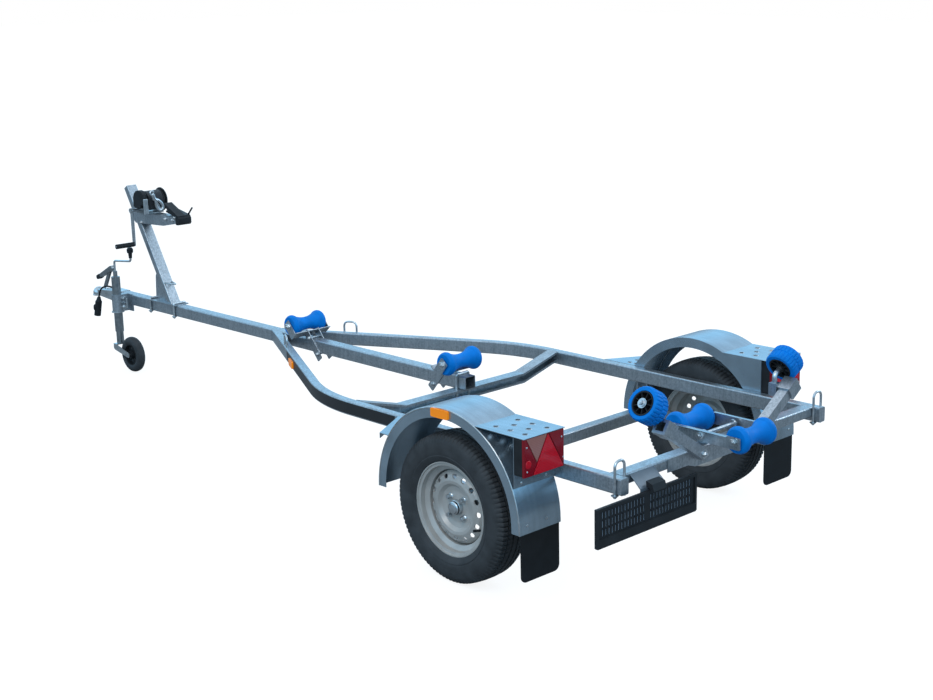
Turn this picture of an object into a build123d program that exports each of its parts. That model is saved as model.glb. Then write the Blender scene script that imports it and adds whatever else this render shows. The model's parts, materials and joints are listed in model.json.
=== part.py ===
"""Single-axle boat trailer with keel rollers, a rear roller cradle and a hand winch."""

import os
from math import atan2, cos, degrees, hypot, radians, sin, sqrt, tan

from build123d import *

os.makedirs("parts", exist_ok=True)

# ---------------------------------------------------------------- driving sizes, mm and degrees
# Drawn level: X forward from the axle, Y left, Z up from the ground under the tyres.

# parking attitude: the trailer leans forward about the axle line onto its jockey wheel
PARK_ANGLE = 1.63
CLEARANCE = 0.3
RUNNING_CLEARANCE = 0.05

# wheels
TYRE_RADIUS = 288
TYRE_WIDTH = 157
TYRE_WALL = 10
TREAD_WIDTH = 124
HALF_TRACK = 729
RIM_LIP_RADIUS = 182
RIM_SEAT_RADIUS = 170
RIM_WELL_RADIUS = 150
RIM_HALF_WIDTH = 64
RIM_SHEET = 4
RIM_FLANGE = 7
RIM_FLARE = 5
RIM_FLARE_DROP = 2
VENT_COUNT = 16
VENT_RING_RADIUS = 122
VENT_RADIUS = 8.5
HUB_BORE_RADIUS = 29
HUB_RADIUS = 38
STUB_RADIUS = 17

# frame tubes
FRAME_TOP = 515
DRAWBAR_WIDTH = 60
DRAWBAR_HEIGHT = 60
DRAWBAR_WALL = 4
DRAWBAR_REAR_X = 715
DRAWBAR_FRONT_X = 3660
BEAM_WIDTH = 40
BEAM_HEIGHT = 60
BEAM_WALL = 3
WHEEL_TO_BEAM = 115
BEAM_OUTER_Y = HALF_TRACK - WHEEL_TO_BEAM
BEAM_REAR_X = -679
BEAM_BEND_X = 992
BEAM_BEND_ANGLE = 27.4
BEAM_BEND_RADIUS = 800
TUBE_CORNER = 6

# cross members
FRONT_CROSS_X = 765
FRONT_CROSS_WIDTH = 60
FRONT_CROSS_HEIGHT = 45
FRONT_CROSS_FLAT_Y = 355
FRONT_CROSS_SHEET = 4
FRONT_CROSS_LIP = 10
REAR_CROSS_X = -621
REAR_CROSS_WIDTH = 56
REAR_CROSS_HEIGHT = 40
REAR_CROSS_WALL = 3
REAR_PLATE_THICKNESS = 4
REAR_PLATE_HALF_LENGTH = 330
REAR_PLATE_DEPTH = 50
REAR_PLATE_BULGE_HALF_LENGTH = 215
REAR_PLATE_BULGE_DEPTH = 64

# torsion axle
AXLE_X = 228
AXLE_Z = 320
AXLE_SIZE = 50
AXLE_WALL = 4
AXLE_BRACKET_SHEET = 5
AXLE_BRACKET_DROP = 165
SWING_ARM_THICKNESS = 15
SWING_ARM_GAP = 3
SWING_ARM_PIVOT_RADIUS = 36
SWING_ARM_HUB_RADIUS = 30
SWING_ARM_TORSION_LENGTH = 90

# mudguards, lamp boxes, steps and flaps
GUARD_CENTRE_X = -14
GUARD_CENTRE_Z = 306
GUARD_RADIUS = 381
GUARD_WIDTH = 208
GUARD_SHEET = 2
GUARD_FLANGE = 42
GUARD_TAIL_Z = 293
LAMP_BOX_TOP_Z = 652
LAMP_BOX_FRONT_X = -177
LAMP_BOX_REAR_X = -420
LAMP_BOX_SHEET = 2
LAMP_BOX_BOTTOM_Z = 462
LAMP_DEPTH = 50
LAMP_WIDTH = 200
LAMP_HEIGHT = 140
LENS_DEPTH = 12
STEP_SHEET = 3
STEP_LONG_X = 481
STEP_SHORT_X = 365
STEP_WIDTH = 197
STEP_FLANGE = 22
STEP_HOLE_RADIUS = 8
FLAP_THICKNESS = 4
FLAP_WIDTH = 195
FLAP_TOP_Z = 330
FLAP_BOTTOM_Z = 112
FLAP_CORNER = 25
MARKER_LENGTH = 90
MARKER_HEIGHT = 33
MARKER_DEPTH = 9
MARKER_X = 2
MARKER_Z = 664
REFLECTOR_X = 1600
REFLECTOR_Z = 481

# number plate carrier
PLATE_REAR_X = -712
PLATE_LEFT_Y = 774
PLATE_LENGTH = 536
PLATE_TOP_Z = 455
PLATE_HEIGHT = 139
PLATE_DEPTH = 12
PLATE_BORDER = 11
PLATE_RIB = 3

# winch post and winch
POST_LEAN = 31
POST_WIDTH = 60
POST_DEPTH = 40
POST_WALL = 3
POST_BASE_X = 3038
POST_LENGTH = 724
POST_BASE_PLATE = 5
POST_BASE_REAR_X = 2990
POST_BASE_FRONT_X = 3272
POST_BASE_WIDTH = 92
POST_BOLT_XS = (3010, 3246)
GUSSET_FRONT_X = 3236
U_BOLT_RADIUS = 6
LOOP_RADIUS = 5
WINCH_FLOOR_Z = 1000
WINCH_PLATE_SHEET = 4
WINCH_AXIS_X = 3215
WINCH_AXIS_Z = 1068
WINCH_HALF_WIDTH = 52
DRUM_FLANGE_RADIUS = 56
DRUM_CORE_RADIUS = 30
PINION_AXIS_X = 3264
PINION_AXIS_Z = 1018
CRANK_LENGTH = 185
CRANK_GRIP_LENGTH = 112

# jockey wheel
JOCKEY_X = 3505
JOCKEY_Y = 92
JOCKEY_TUBE_RADIUS = 24
JOCKEY_TUBE_WALL = 2.5
JOCKEY_TUBE_TOP_Z = 620
JOCKEY_TUBE_BOTTOM_Z = 309
JOCKEY_LEG_RADIUS = 20.5
JOCKEY_LIFT_UP = 60
JOCKEY_CAP = 8
JOCKEY_TRAIL = 130
JOCKEY_WHEEL_RADIUS = 99
JOCKEY_WHEEL_WIDTH = 50

# coupling
BALL_RADIUS = 25
BALL_X = 3864

# keel rollers on the drawbar, and the rear cradle
ROLLER_LENGTH = 190
ROLLER_END_RADIUS = 51
ROLLER_WAIST_RADIUS = 31
ROLLER_PIN_RADIUS = 8
ROLLER_BORE_CLEARANCE = 0.3
KEEL_LEAN = 50
KEEL_BRACKET_SHEET = 4
KEEL_WIDTH = 46
KEEL_BASE_LOW = 12
STRAP_WIDTH = 38
KEEL_BOLT_RADIUS = 5
CRADLE_PIVOT_X = -621
CRADLE_PIVOT_Z = 547
CRADLE_FRONT_X = -470
CRADLE_REAR_X = -800
CRADLE_TOP_Z = 570
CRADLE_PLATE_HEIGHT = 46
CRADLE_PLATE_SHEET = 5
CRADLE_FRONT_ROLLER_X = -490
CRADLE_REAR_ROLLER_X = -772
CRADLE_ROLLER_Z = 553

# wobble rollers
WOBBLE_X = -625
WOBBLE_Y = 408
WOBBLE_Z = 723
WOBBLE_RADIUS = 62
WOBBLE_WIDTH = 68
WOBBLE_TILT = 29
WOBBLE_STEM_RADIUS = 10
STEM_REACH = 72
STEM_SOCKET_WIDTH = 34
STEM_SOCKET_HEIGHT = 50
ARM_SIZE = 40
ARM_WALL = 3
ARM_FOOT_Y = 150
ARM_FOOT_Z = 492
ARM_HEAD_Y = 372
ARM_HEAD_Z = 640
SLEEVE_SIZE = 56
SLEEVE_LENGTH = 62

# ---------------------------------------------------------------- sizes worked out from those above
HUB_Z = TYRE_RADIUS
BEAM_CENTRE_Y = BEAM_OUTER_Y - BEAM_WIDTH / 2
BEAM_INNER_Y = BEAM_OUTER_Y - BEAM_WIDTH
BEAM_CENTRE_Z = FRAME_TOP - BEAM_HEIGHT / 2
BEAM_BOTTOM_Z = FRAME_TOP - BEAM_HEIGHT
DRAWBAR_BOTTOM_Z = FRAME_TOP - DRAWBAR_HEIGHT
GUARD_OUTER_Y = BEAM_OUTER_Y + GUARD_WIDTH
REAR_CROSS_REAR_X = REAR_CROSS_X - REAR_CROSS_WIDTH / 2
REAR_PLATE_X = REAR_CROSS_REAR_X - REAR_PLATE_THICKNESS
JOCKEY_WHEEL_X = JOCKEY_X - JOCKEY_TRAIL
JOCKEY_WHEEL_Z = (
    HUB_Z
    + (JOCKEY_WHEEL_RADIUS - HUB_Z + JOCKEY_WHEEL_X * sin(radians(PARK_ANGLE))) / cos(radians(PARK_ANGLE))
)
U_BOLT_HALF_GAP = DRAWBAR_WIDTH / 2 + U_BOLT_RADIUS
SIDES = ((1, "left"), (-1, "right"))

PIECES = {}


def keep(piece, name):
    """Name a finished piece and hold it until the whole trailer is parked."""
    piece.part.label = name
    PIECES[name] = piece


# ---------------------------------------------------------------- frame
with BuildPart() as drawbar:
    with BuildSketch(Plane.YZ.offset(DRAWBAR_REAR_X)):
        with Locations((0, FRAME_TOP - DRAWBAR_HEIGHT / 2)):
            RectangleRounded(DRAWBAR_WIDTH, DRAWBAR_HEIGHT, TUBE_CORNER)
            Rectangle(DRAWBAR_WIDTH - 2 * DRAWBAR_WALL, DRAWBAR_HEIGHT - 2 * DRAWBAR_WALL, mode=Mode.SUBTRACT)
    extrude(amount=DRAWBAR_FRONT_X - DRAWBAR_REAR_X)
keep(drawbar, "drawbar")

BEAM_MEET_X = BEAM_BEND_X + BEAM_CENTRE_Y / tan(radians(BEAM_BEND_ANGLE))
with BuildPart() as side_beams:
    with BuildLine(Plane.XY.offset(BEAM_CENTRE_Z)) as beam_path:
        FilletPolyline(
            (BEAM_REAR_X, BEAM_CENTRE_Y),
            (BEAM_BEND_X, BEAM_CENTRE_Y),
            (BEAM_MEET_X, 0),
            radius=BEAM_BEND_RADIUS,
        )
    with BuildSketch(Plane((BEAM_REAR_X, BEAM_CENTRE_Y, BEAM_CENTRE_Z), (0, 1, 0), (1, 0, 0))):
        RectangleRounded(BEAM_WIDTH, BEAM_HEIGHT, TUBE_CORNER)
        Rectangle(BEAM_WIDTH - 2 * BEAM_WALL, BEAM_HEIGHT - 2 * BEAM_WALL, mode=Mode.SUBTRACT)
    sweep(path=beam_path.wire())
    with BuildSketch(Plane((BEAM_REAR_X, BEAM_CENTRE_Y, BEAM_CENTRE_Z), (0, 1, 0), (1, 0, 0))):
        Rectangle(BEAM_WIDTH - BEAM_WALL, BEAM_HEIGHT - BEAM_WALL)
    extrude(amount=BEAM_WALL)
    with Locations((BEAM_MEET_X, 0, BEAM_CENTRE_Z)):
        Box(4 * BEAM_HEIGHT + 4 * DRAWBAR_WIDTH, DRAWBAR_WIDTH, 2 * BEAM_HEIGHT, mode=Mode.SUBTRACT)
    mirror(about=Plane.XZ)
keep(side_beams, "side_beams")


def cross_band(top_drop, bottom_drop):
    """Points of the front cross member's stepped band, between two depths below its top line."""
    flat_z = FRAME_TOP - DRAWBAR_HEIGHT
    top = [
        (-BEAM_INNER_Y, FRAME_TOP),
        (-FRONT_CROSS_FLAT_Y, flat_z),
        (FRONT_CROSS_FLAT_Y, flat_z),
        (BEAM_INNER_Y, FRAME_TOP),
    ]
    upper = [(y, z - top_drop) for y, z in top]
    lower = [(y, z - bottom_drop) for y, z in reversed(top)]
    return upper + lower


with BuildPart() as crossmember_front:
    with BuildSketch(Plane.YZ.offset(FRONT_CROSS_X - FRONT_CROSS_WIDTH / 2)):
        with BuildLine():
            Polyline(*cross_band(0, FRONT_CROSS_HEIGHT), close=True)
        make_face()
    extrude(amount=FRONT_CROSS_WIDTH)
    with BuildSketch(Plane.YZ.offset(FRONT_CROSS_X - FRONT_CROSS_WIDTH / 2 + FRONT_CROSS_SHEET)):
        with BuildLine():
            Polyline(*cross_band(FRONT_CROSS_SHEET, FRONT_CROSS_HEIGHT - FRONT_CROSS_SHEET), close=True)
        make_face()
    extrude(amount=FRONT_CROSS_WIDTH - 2 * FRONT_CROSS_SHEET, mode=Mode.SUBTRACT)
    with BuildSketch(Plane.YZ.offset(FRONT_CROSS_X - FRONT_CROSS_WIDTH / 2)):
        with BuildLine():
            Polyline(*cross_band(FRONT_CROSS_LIP, FRONT_CROSS_HEIGHT - FRONT_CROSS_LIP), close=True)
        make_face()
    extrude(amount=FRONT_CROSS_SHEET, mode=Mode.SUBTRACT)
    with BuildSketch(Plane.XY.offset(FRAME_TOP)):
        with GridLocations(0, DRAWBAR_WIDTH + 12, 1, 2):
            with Locations((FRONT_CROSS_X, 0)):
                Circle(6.4)
    extrude(amount=-2 * BEAM_HEIGHT, mode=Mode.SUBTRACT)
keep(crossmember_front, "crossmember_front")

with BuildPart() as crossmember_rear:
    with BuildSketch(Plane.XZ.offset(-BEAM_INNER_Y)):
        with Locations((REAR_CROSS_X, FRAME_TOP - REAR_CROSS_HEIGHT / 2)):
            RectangleRounded(REAR_CROSS_WIDTH, REAR_CROSS_HEIGHT, TUBE_CORNER)
            Rectangle(
                REAR_CROSS_WIDTH - 2 * REAR_CROSS_WALL,
                REAR_CROSS_HEIGHT - 2 * REAR_CROSS_WALL,
                mode=Mode.SUBTRACT,
            )
    extrude(amount=2 * BEAM_INNER_Y)
    with BuildSketch(Plane.YZ.offset(REAR_PLATE_X)):
        with BuildLine():
            plate_low_z = FRAME_TOP - REAR_PLATE_DEPTH
            bulge_low_z = FRAME_TOP - REAR_PLATE_BULGE_DEPTH
            Polyline(
                (-REAR_PLATE_HALF_LENGTH, FRAME_TOP),
                (-REAR_PLATE_HALF_LENGTH, plate_low_z),
                (-REAR_PLATE_BULGE_HALF_LENGTH, plate_low_z),
                (-REAR_PLATE_BULGE_HALF_LENGTH + 3 * (plate_low_z - bulge_low_z), bulge_low_z),
                (REAR_PLATE_BULGE_HALF_LENGTH - 3 * (plate_low_z - bulge_low_z), bulge_low_z),
                (REAR_PLATE_BULGE_HALF_LENGTH, plate_low_z),
                (REAR_PLATE_HALF_LENGTH, plate_low_z),
                (REAR_PLATE_HALF_LENGTH, FRAME_TOP),
                close=True,
            )
        make_face()
    extrude(amount=REAR_PLATE_THICKNESS)
keep(crossmember_rear, "crossmember_rear")

# ---------------------------------------------------------------- torsion axle
AXLE_HALF_LENGTH = BEAM_OUTER_Y + 8
with BuildPart() as axle_beam:
    with BuildSketch(Plane.XZ.offset(-AXLE_HALF_LENGTH)):
        with Locations((AXLE_X, AXLE_Z)):
            RectangleRounded(AXLE_SIZE, AXLE_SIZE, TUBE_CORNER)
            Rectangle(AXLE_SIZE - 2 * AXLE_WALL, AXLE_SIZE - 2 * AXLE_WALL, mode=Mode.SUBTRACT)
    extrude(amount=2 * AXLE_HALF_LENGTH)
keep(axle_beam, "axle_beam")

AXLE_BRACKET_HALF = AXLE_SIZE / 2 + AXLE_BRACKET_SHEET
with BuildPart() as axle_brackets:
    for side, side_name in SIDES:
        with Locations((AXLE_X, side * BEAM_CENTRE_Y, BEAM_BOTTOM_Z)):
            Box(
                2 * AXLE_BRACKET_HALF,
                BEAM_WIDTH,
                AXLE_BRACKET_DROP,
                align=(Align.CENTER, Align.CENTER, Align.MAX),
            )
            with Locations((0, -side * AXLE_BRACKET_SHEET, 0)):
                Box(
                    AXLE_SIZE,
                    BEAM_WIDTH,
                    AXLE_BRACKET_DROP,
                    align=(Align.CENTER, Align.CENTER, Align.MAX),
                    mode=Mode.SUBTRACT,
                )
    with Locations((AXLE_X, 0, AXLE_Z)):
        Box(AXLE_SIZE, 2 * BEAM_OUTER_Y, AXLE_SIZE, mode=Mode.SUBTRACT)
keep(axle_brackets, "axle_brackets")

ARM_INNER_Y = AXLE_HALF_LENGTH + SWING_ARM_GAP
HUB_INNER_Y = HALF_TRACK - 62
STUB_END_Y = HALF_TRACK + 16
ARM_INNER_PLANE = Plane.XZ.offset(-ARM_INNER_Y)
with BuildPart() as swing_arms:
    with BuildSketch(ARM_INNER_PLANE) as arm_outline:
        with Locations((0, HUB_Z)):
            Circle(SWING_ARM_HUB_RADIUS)
        with Locations((AXLE_X, AXLE_Z)):
            Circle(SWING_ARM_PIVOT_RADIUS)
        make_hull()
    extrude(amount=-SWING_ARM_THICKNESS)
    with BuildSketch(ARM_INNER_PLANE):
        with Locations((0, HUB_Z)):
            Circle(STUB_RADIUS)
    extrude(amount=-(STUB_END_Y - ARM_INNER_Y))
    with BuildSketch(ARM_INNER_PLANE):
        with Locations((AXLE_X, AXLE_Z)):
            Circle(AXLE_SIZE / 2 - AXLE_WALL - CLEARANCE)
    extrude(amount=SWING_ARM_TORSION_LENGTH)
    mirror(about=Plane.XZ)
keep(swing_arms, "swing_arms")

# ---------------------------------------------------------------- wheels
# tyre section as (radius, offset from the wheel's mid plane) of half the carcass
TYRE_SHOULDER = TREAD_WIDTH / 2
TYRE_HALF = TYRE_WIDTH / 2
TYRE_HEEL_Y = RIM_HALF_WIDTH - RIM_FLANGE - CLEARANCE
TYRE_TOE_Y = TYRE_HEEL_Y - 16
TYRE_SEAT = RIM_SEAT_RADIUS + CLEARANCE
TYRE_LIP = RIM_LIP_RADIUS + CLEARANCE
TYRE_FLARE = (RIM_HALF_WIDTH - RIM_FLARE - CLEARANCE, TYRE_LIP - RIM_FLARE_DROP)
TYRE_BELLY_RADIUS = (TYRE_RADIUS + RIM_SEAT_RADIUS) / 2 + 4
for side, side_name in SIDES:
    axle_plane = Plane((0, side * HALF_TRACK, HUB_Z), (1, 0, 0), (0, side, 0))
    section_plane = Plane((0, side * HALF_TRACK, HUB_Z), (0, side, 0), (-side, 0, 0))
    spin_axis = Axis((0, side * HALF_TRACK, HUB_Z), (0, 1, 0))
    with BuildPart() as tyre:
        with BuildSketch(section_plane):
            with BuildLine():
                ThreePointArc(
                    (-RIM_HALF_WIDTH, TYRE_LIP),
                    (-TYRE_HALF + 2, TYRE_BELLY_RADIUS - 24),
                    (-TYRE_HALF, TYRE_BELLY_RADIUS),
                )
                ThreePointArc(
                    (-TYRE_HALF, TYRE_BELLY_RADIUS),
                    (-TYRE_HALF + 5, TYRE_RADIUS - 24),
                    (-TYRE_SHOULDER, TYRE_RADIUS - 5),
                )
                ThreePointArc(
                    (-TYRE_SHOULDER, TYRE_RADIUS - 5),
                    (0, TYRE_RADIUS),
                    (TYRE_SHOULDER, TYRE_RADIUS - 5),
                )
                ThreePointArc(
                    (TYRE_SHOULDER, TYRE_RADIUS - 5),
                    (TYRE_HALF - 5, TYRE_RADIUS - 24),
                    (TYRE_HALF, TYRE_BELLY_RADIUS),
                )
                ThreePointArc(
                    (TYRE_HALF, TYRE_BELLY_RADIUS),
                    (TYRE_HALF - 2, TYRE_BELLY_RADIUS - 24),
                    (RIM_HALF_WIDTH, TYRE_LIP),
                )
                Polyline(
                    (RIM_HALF_WIDTH, TYRE_LIP),
                    TYRE_FLARE,
                    (TYRE_HEEL_Y, TYRE_SEAT),
                    (TYRE_TOE_Y, TYRE_SEAT),
                    (TYRE_HALF - TYRE_WALL, TYRE_BELLY_RADIUS - 10),
                    (TYRE_HALF - TYRE_WALL - 2, TYRE_RADIUS - 34),
                    (TYRE_SHOULDER - 12, TYRE_RADIUS - 16),
                    (-TYRE_SHOULDER + 12, TYRE_RADIUS - 16),
                    (-TYRE_HALF + TYRE_WALL + 2, TYRE_RADIUS - 34),
                    (-TYRE_HALF + TYRE_WALL, TYRE_BELLY_RADIUS - 10),
                    (-TYRE_TOE_Y, TYRE_SEAT),
                    (-TYRE_HEEL_Y, TYRE_SEAT),
                    (-TYRE_FLARE[0], TYRE_FLARE[1]),
                    (-RIM_HALF_WIDTH, TYRE_LIP),
                )
            make_face()
        revolve(axis=spin_axis)
    keep(tyre, f"tyre_{side_name}")

    # rim barrel and disc as (offset outward from the mid plane, radius), outer surface first
    barrel = (
        (RIM_HALF_WIDTH, RIM_LIP_RADIUS),
        (RIM_HALF_WIDTH - RIM_FLARE, RIM_LIP_RADIUS - RIM_FLARE_DROP),
        (RIM_HALF_WIDTH - RIM_FLANGE, RIM_SEAT_RADIUS),
        (RIM_HALF_WIDTH - 26, RIM_SEAT_RADIUS - 2),
        (RIM_HALF_WIDTH - 36, RIM_WELL_RADIUS),
        (-RIM_HALF_WIDTH + 42, RIM_WELL_RADIUS),
        (-RIM_HALF_WIDTH + 28, RIM_SEAT_RADIUS - 2),
        (-RIM_HALF_WIDTH + RIM_FLANGE, RIM_SEAT_RADIUS),
        (-RIM_HALF_WIDTH + RIM_FLARE, RIM_LIP_RADIUS - RIM_FLARE_DROP),
        (-RIM_HALF_WIDTH, RIM_LIP_RADIUS),
    )
    disc = (
        (4, RIM_WELL_RADIUS - RIM_SHEET),
        (20, RIM_WELL_RADIUS - 10),
        (33, VENT_RING_RADIUS + 4),
        (40, VENT_RING_RADIUS - 18),
        (38, VENT_RING_RADIUS - 30),
        (26, VENT_RING_RADIUS - 42),
        (22, 62),
        (22, HUB_BORE_RADIUS),
    )
    with BuildPart() as rim:
        with BuildSketch(section_plane):
            with BuildLine():
                Polyline(
                    *barrel,
                    *[(y, r - RIM_SHEET) for y, r in reversed(barrel)],
                    close=True,
                )
            make_face()
            with BuildLine():
                Polyline(
                    *disc,
                    *[(y - RIM_SHEET - 1, r) for y, r in reversed(disc)],
                    close=True,
                )
            make_face()
        revolve(axis=spin_axis)
        with BuildSketch(axle_plane):
            with PolarLocations(VENT_RING_RADIUS, VENT_COUNT):
                SlotOverall(VENT_RADIUS * 2.6, VENT_RADIUS * 2, rotation=90)
        extrude(amount=60, both=True, mode=Mode.SUBTRACT)
    keep(rim, f"rim_{side_name}")

    hub_section = (
        (HUB_INNER_Y - HALF_TRACK, STUB_RADIUS + RUNNING_CLEARANCE),
        (HUB_INNER_Y - HALF_TRACK, HUB_RADIUS + 6),
        (-36, HUB_RADIUS + 6),
        (-30, HUB_RADIUS),
        (4, HUB_RADIUS),
        (4, 66),
        (22 - RIM_SHEET - 1, 66),
        (22 - RIM_SHEET - 1, HUB_BORE_RADIUS - CLEARANCE),
        (44, HUB_BORE_RADIUS - 3),
        (49, HUB_BORE_RADIUS - 8),
        (50, 0),
        (20, 0),
        (20, STUB_RADIUS + RUNNING_CLEARANCE),
    )
    with BuildPart() as hub:
        with BuildSketch(section_plane):
            with BuildLine():
                Polyline(*hub_section, close=True)
            make_face()
        revolve(axis=spin_axis)
    keep(hub, f"hub_{side_name}")

# ---------------------------------------------------------------- mudguards, lamp boxes, steps, flaps
GUARD_INNER_RADIUS = GUARD_RADIUS - GUARD_SHEET
GUARD_LIP_RADIUS = GUARD_RADIUS - GUARD_FLANGE
GUARD_REAR_X = GUARD_CENTRE_X - GUARD_RADIUS


def guard_arch_x(z):
    """How far the mudguard's sheet reaches forward of its centre at a height."""
    return sqrt(GUARD_RADIUS**2 - (z - GUARD_CENTRE_Z) ** 2)


LAMP_BACK_X = LAMP_BOX_REAR_X + LAMP_DEPTH
STEP_REAR_X = GUARD_CENTRE_X + guard_arch_x(FRAME_TOP - STEP_SHEET)
GUARD_PLANE = Plane.XZ.offset(-BEAM_OUTER_Y)
GUARD_CENTRE = (GUARD_CENTRE_X, GUARD_CENTRE_Z)
with BuildPart() as mudguards:
    with BuildSketch(GUARD_PLANE):
        with Locations(GUARD_CENTRE):
            Circle(GUARD_RADIUS)
            Circle(GUARD_LIP_RADIUS, mode=Mode.SUBTRACT)
        with Locations((GUARD_CENTRE_X, (GUARD_CENTRE_Z - GUARD_RADIUS))):
            Rectangle(3 * GUARD_RADIUS, 2 * GUARD_RADIUS, mode=Mode.SUBTRACT)
        with Locations((GUARD_REAR_X + GUARD_FLANGE / 2, (GUARD_CENTRE_Z + GUARD_TAIL_Z) / 2)):
            Rectangle(GUARD_FLANGE, GUARD_CENTRE_Z - GUARD_TAIL_Z)
    extrude(amount=-GUARD_WIDTH)
    with BuildSketch(GUARD_PLANE.offset(-GUARD_SHEET)):
        with Locations(GUARD_CENTRE):
            Circle(GUARD_INNER_RADIUS)
        with Locations((GUARD_CENTRE_X, (GUARD_CENTRE_Z - GUARD_RADIUS))):
            Rectangle(2 * GUARD_INNER_RADIUS, 2 * GUARD_RADIUS)
    extrude(amount=-(GUARD_WIDTH - 2 * GUARD_SHEET), mode=Mode.SUBTRACT)
    mirror(about=Plane.XZ)
keep(mudguards, "mudguards")

box_mid_y = BEAM_OUTER_Y + GUARD_WIDTH / 2
with BuildPart() as lamp_boxes:
    with BuildSketch(GUARD_PLANE):
        with BuildLine():
            front_x = LAMP_BOX_FRONT_X
            Polyline(
                (front_x, LAMP_BOX_TOP_Z),
                (LAMP_BOX_REAR_X, LAMP_BOX_TOP_Z),
                (LAMP_BOX_REAR_X, (LAMP_BOX_TOP_Z - LAMP_BOX_SHEET)),
                (LAMP_BACK_X, (LAMP_BOX_TOP_Z - LAMP_BOX_SHEET)),
                (LAMP_BACK_X, LAMP_BOX_BOTTOM_Z),
                (LAMP_BACK_X + LAMP_BOX_SHEET, LAMP_BOX_BOTTOM_Z),
                (LAMP_BACK_X + LAMP_BOX_SHEET, (LAMP_BOX_TOP_Z - LAMP_BOX_SHEET)),
                (front_x, (LAMP_BOX_TOP_Z - LAMP_BOX_SHEET)),
                close=True,
            )
        make_face()
    extrude(amount=-GUARD_WIDTH)
    with BuildSketch(GUARD_PLANE):
        with BuildLine():
            Polyline(
                (front_x, LAMP_BOX_TOP_Z),
                (LAMP_BACK_X, LAMP_BOX_TOP_Z),
                (LAMP_BACK_X, LAMP_BOX_BOTTOM_Z),
                close=True,
            )
        make_face()
    extrude(amount=-LAMP_BOX_SHEET)
    with BuildSketch(GUARD_PLANE):
        with Locations(GUARD_CENTRE):
            Circle(GUARD_RADIUS + CLEARANCE)
    extrude(amount=-GUARD_WIDTH, mode=Mode.SUBTRACT)
    with BuildSketch(Plane.XY.offset(LAMP_BOX_TOP_Z)):
        box_mid_x = (LAMP_BOX_FRONT_X + LAMP_BOX_REAR_X) / 2 - 8
        with Locations((box_mid_x, box_mid_y)):
            with GridLocations(72, 110, 3, 2):
                Circle(9)
            with GridLocations(72, 1, 2, 1):
                Circle(9)
    extrude(amount=-3 * LAMP_BOX_SHEET, mode=Mode.SUBTRACT)
    mirror(about=Plane.XZ)
keep(lamp_boxes, "lamp_boxes")

with BuildPart() as front_steps:
    with BuildSketch(Plane.XY.offset(FRAME_TOP)):
        with BuildLine():
            Polyline(
                (STEP_REAR_X, BEAM_OUTER_Y),
                (STEP_LONG_X, BEAM_OUTER_Y),
                (STEP_SHORT_X, (BEAM_OUTER_Y + STEP_WIDTH)),
                (STEP_REAR_X, (BEAM_OUTER_Y + STEP_WIDTH)),
                close=True,
            )
        make_face()
        with Locations((STEP_REAR_X + 34, (BEAM_OUTER_Y + 80))):
            with GridLocations(36, 50, 2, 3):
                Circle(STEP_HOLE_RADIUS, mode=Mode.SUBTRACT)
    extrude(amount=-STEP_SHEET)
    with BuildSketch(Plane.XY.offset(FRAME_TOP)):
        with BuildLine():
            Polyline(
                (STEP_LONG_X - STEP_SHEET, BEAM_OUTER_Y),
                (STEP_LONG_X, BEAM_OUTER_Y),
                (STEP_SHORT_X, (BEAM_OUTER_Y + STEP_WIDTH)),
                (STEP_SHORT_X - STEP_SHEET, (BEAM_OUTER_Y + STEP_WIDTH)),
                close=True,
            )
        make_face()
    extrude(amount=-STEP_FLANGE)
    mirror(about=Plane.XZ)
keep(front_steps, "front_steps")

lamp_mid_y = BEAM_OUTER_Y + 6 + LAMP_WIDTH / 2
lamp_mid_z = LAMP_BOX_TOP_Z - LAMP_BOX_SHEET - CLEARANCE - LAMP_HEIGHT / 2
with BuildPart() as tail_lamps:
    with BuildSketch(Plane((LAMP_BACK_X, lamp_mid_y, lamp_mid_z), (0, 1, 0), (-1, 0, 0))):
        RectangleRounded(LAMP_WIDTH, LAMP_HEIGHT, 8)
    extrude(amount=LAMP_DEPTH - LENS_DEPTH)
    mirror(about=Plane.XZ)
keep(tail_lamps, "tail_lamps")
with BuildPart() as tail_lenses:
    lens_back_x = LAMP_BACK_X - LAMP_DEPTH + LENS_DEPTH
    with BuildSketch(Plane((lens_back_x, lamp_mid_y, lamp_mid_z), (0, 1, 0), (-1, 0, 0))):
        RectangleRounded(LAMP_WIDTH, LAMP_HEIGHT, 8)
    extrude(amount=LENS_DEPTH)
    mirror(about=Plane.XZ)
keep(tail_lenses, "tail_lenses")

flap_x = GUARD_REAR_X + GUARD_SHEET + CLEARANCE
with BuildPart() as mudflaps:
    flap_mid = (flap_x, (BEAM_OUTER_Y + GUARD_WIDTH / 2), (FLAP_TOP_Z + FLAP_BOTTOM_Z) / 2)
    with BuildSketch(Plane(flap_mid, (0, 1, 0), (1, 0, 0))):
        RectangleRounded(FLAP_WIDTH, FLAP_TOP_Z - FLAP_BOTTOM_Z, FLAP_CORNER)
    extrude(amount=FLAP_THICKNESS)
    with BuildSketch(GUARD_PLANE):
        with Locations(GUARD_CENTRE):
            Circle(GUARD_RADIUS * 1.2)
            Circle(GUARD_INNER_RADIUS - CLEARANCE, mode=Mode.SUBTRACT)
        with Locations((GUARD_CENTRE_X, (GUARD_CENTRE_Z - GUARD_RADIUS))):
            Rectangle(3 * GUARD_RADIUS, 2 * GUARD_RADIUS, mode=Mode.SUBTRACT)
    extrude(amount=-GUARD_WIDTH, mode=Mode.SUBTRACT)
    mirror(about=Plane.XZ)
keep(mudflaps, "mudflaps")

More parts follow.
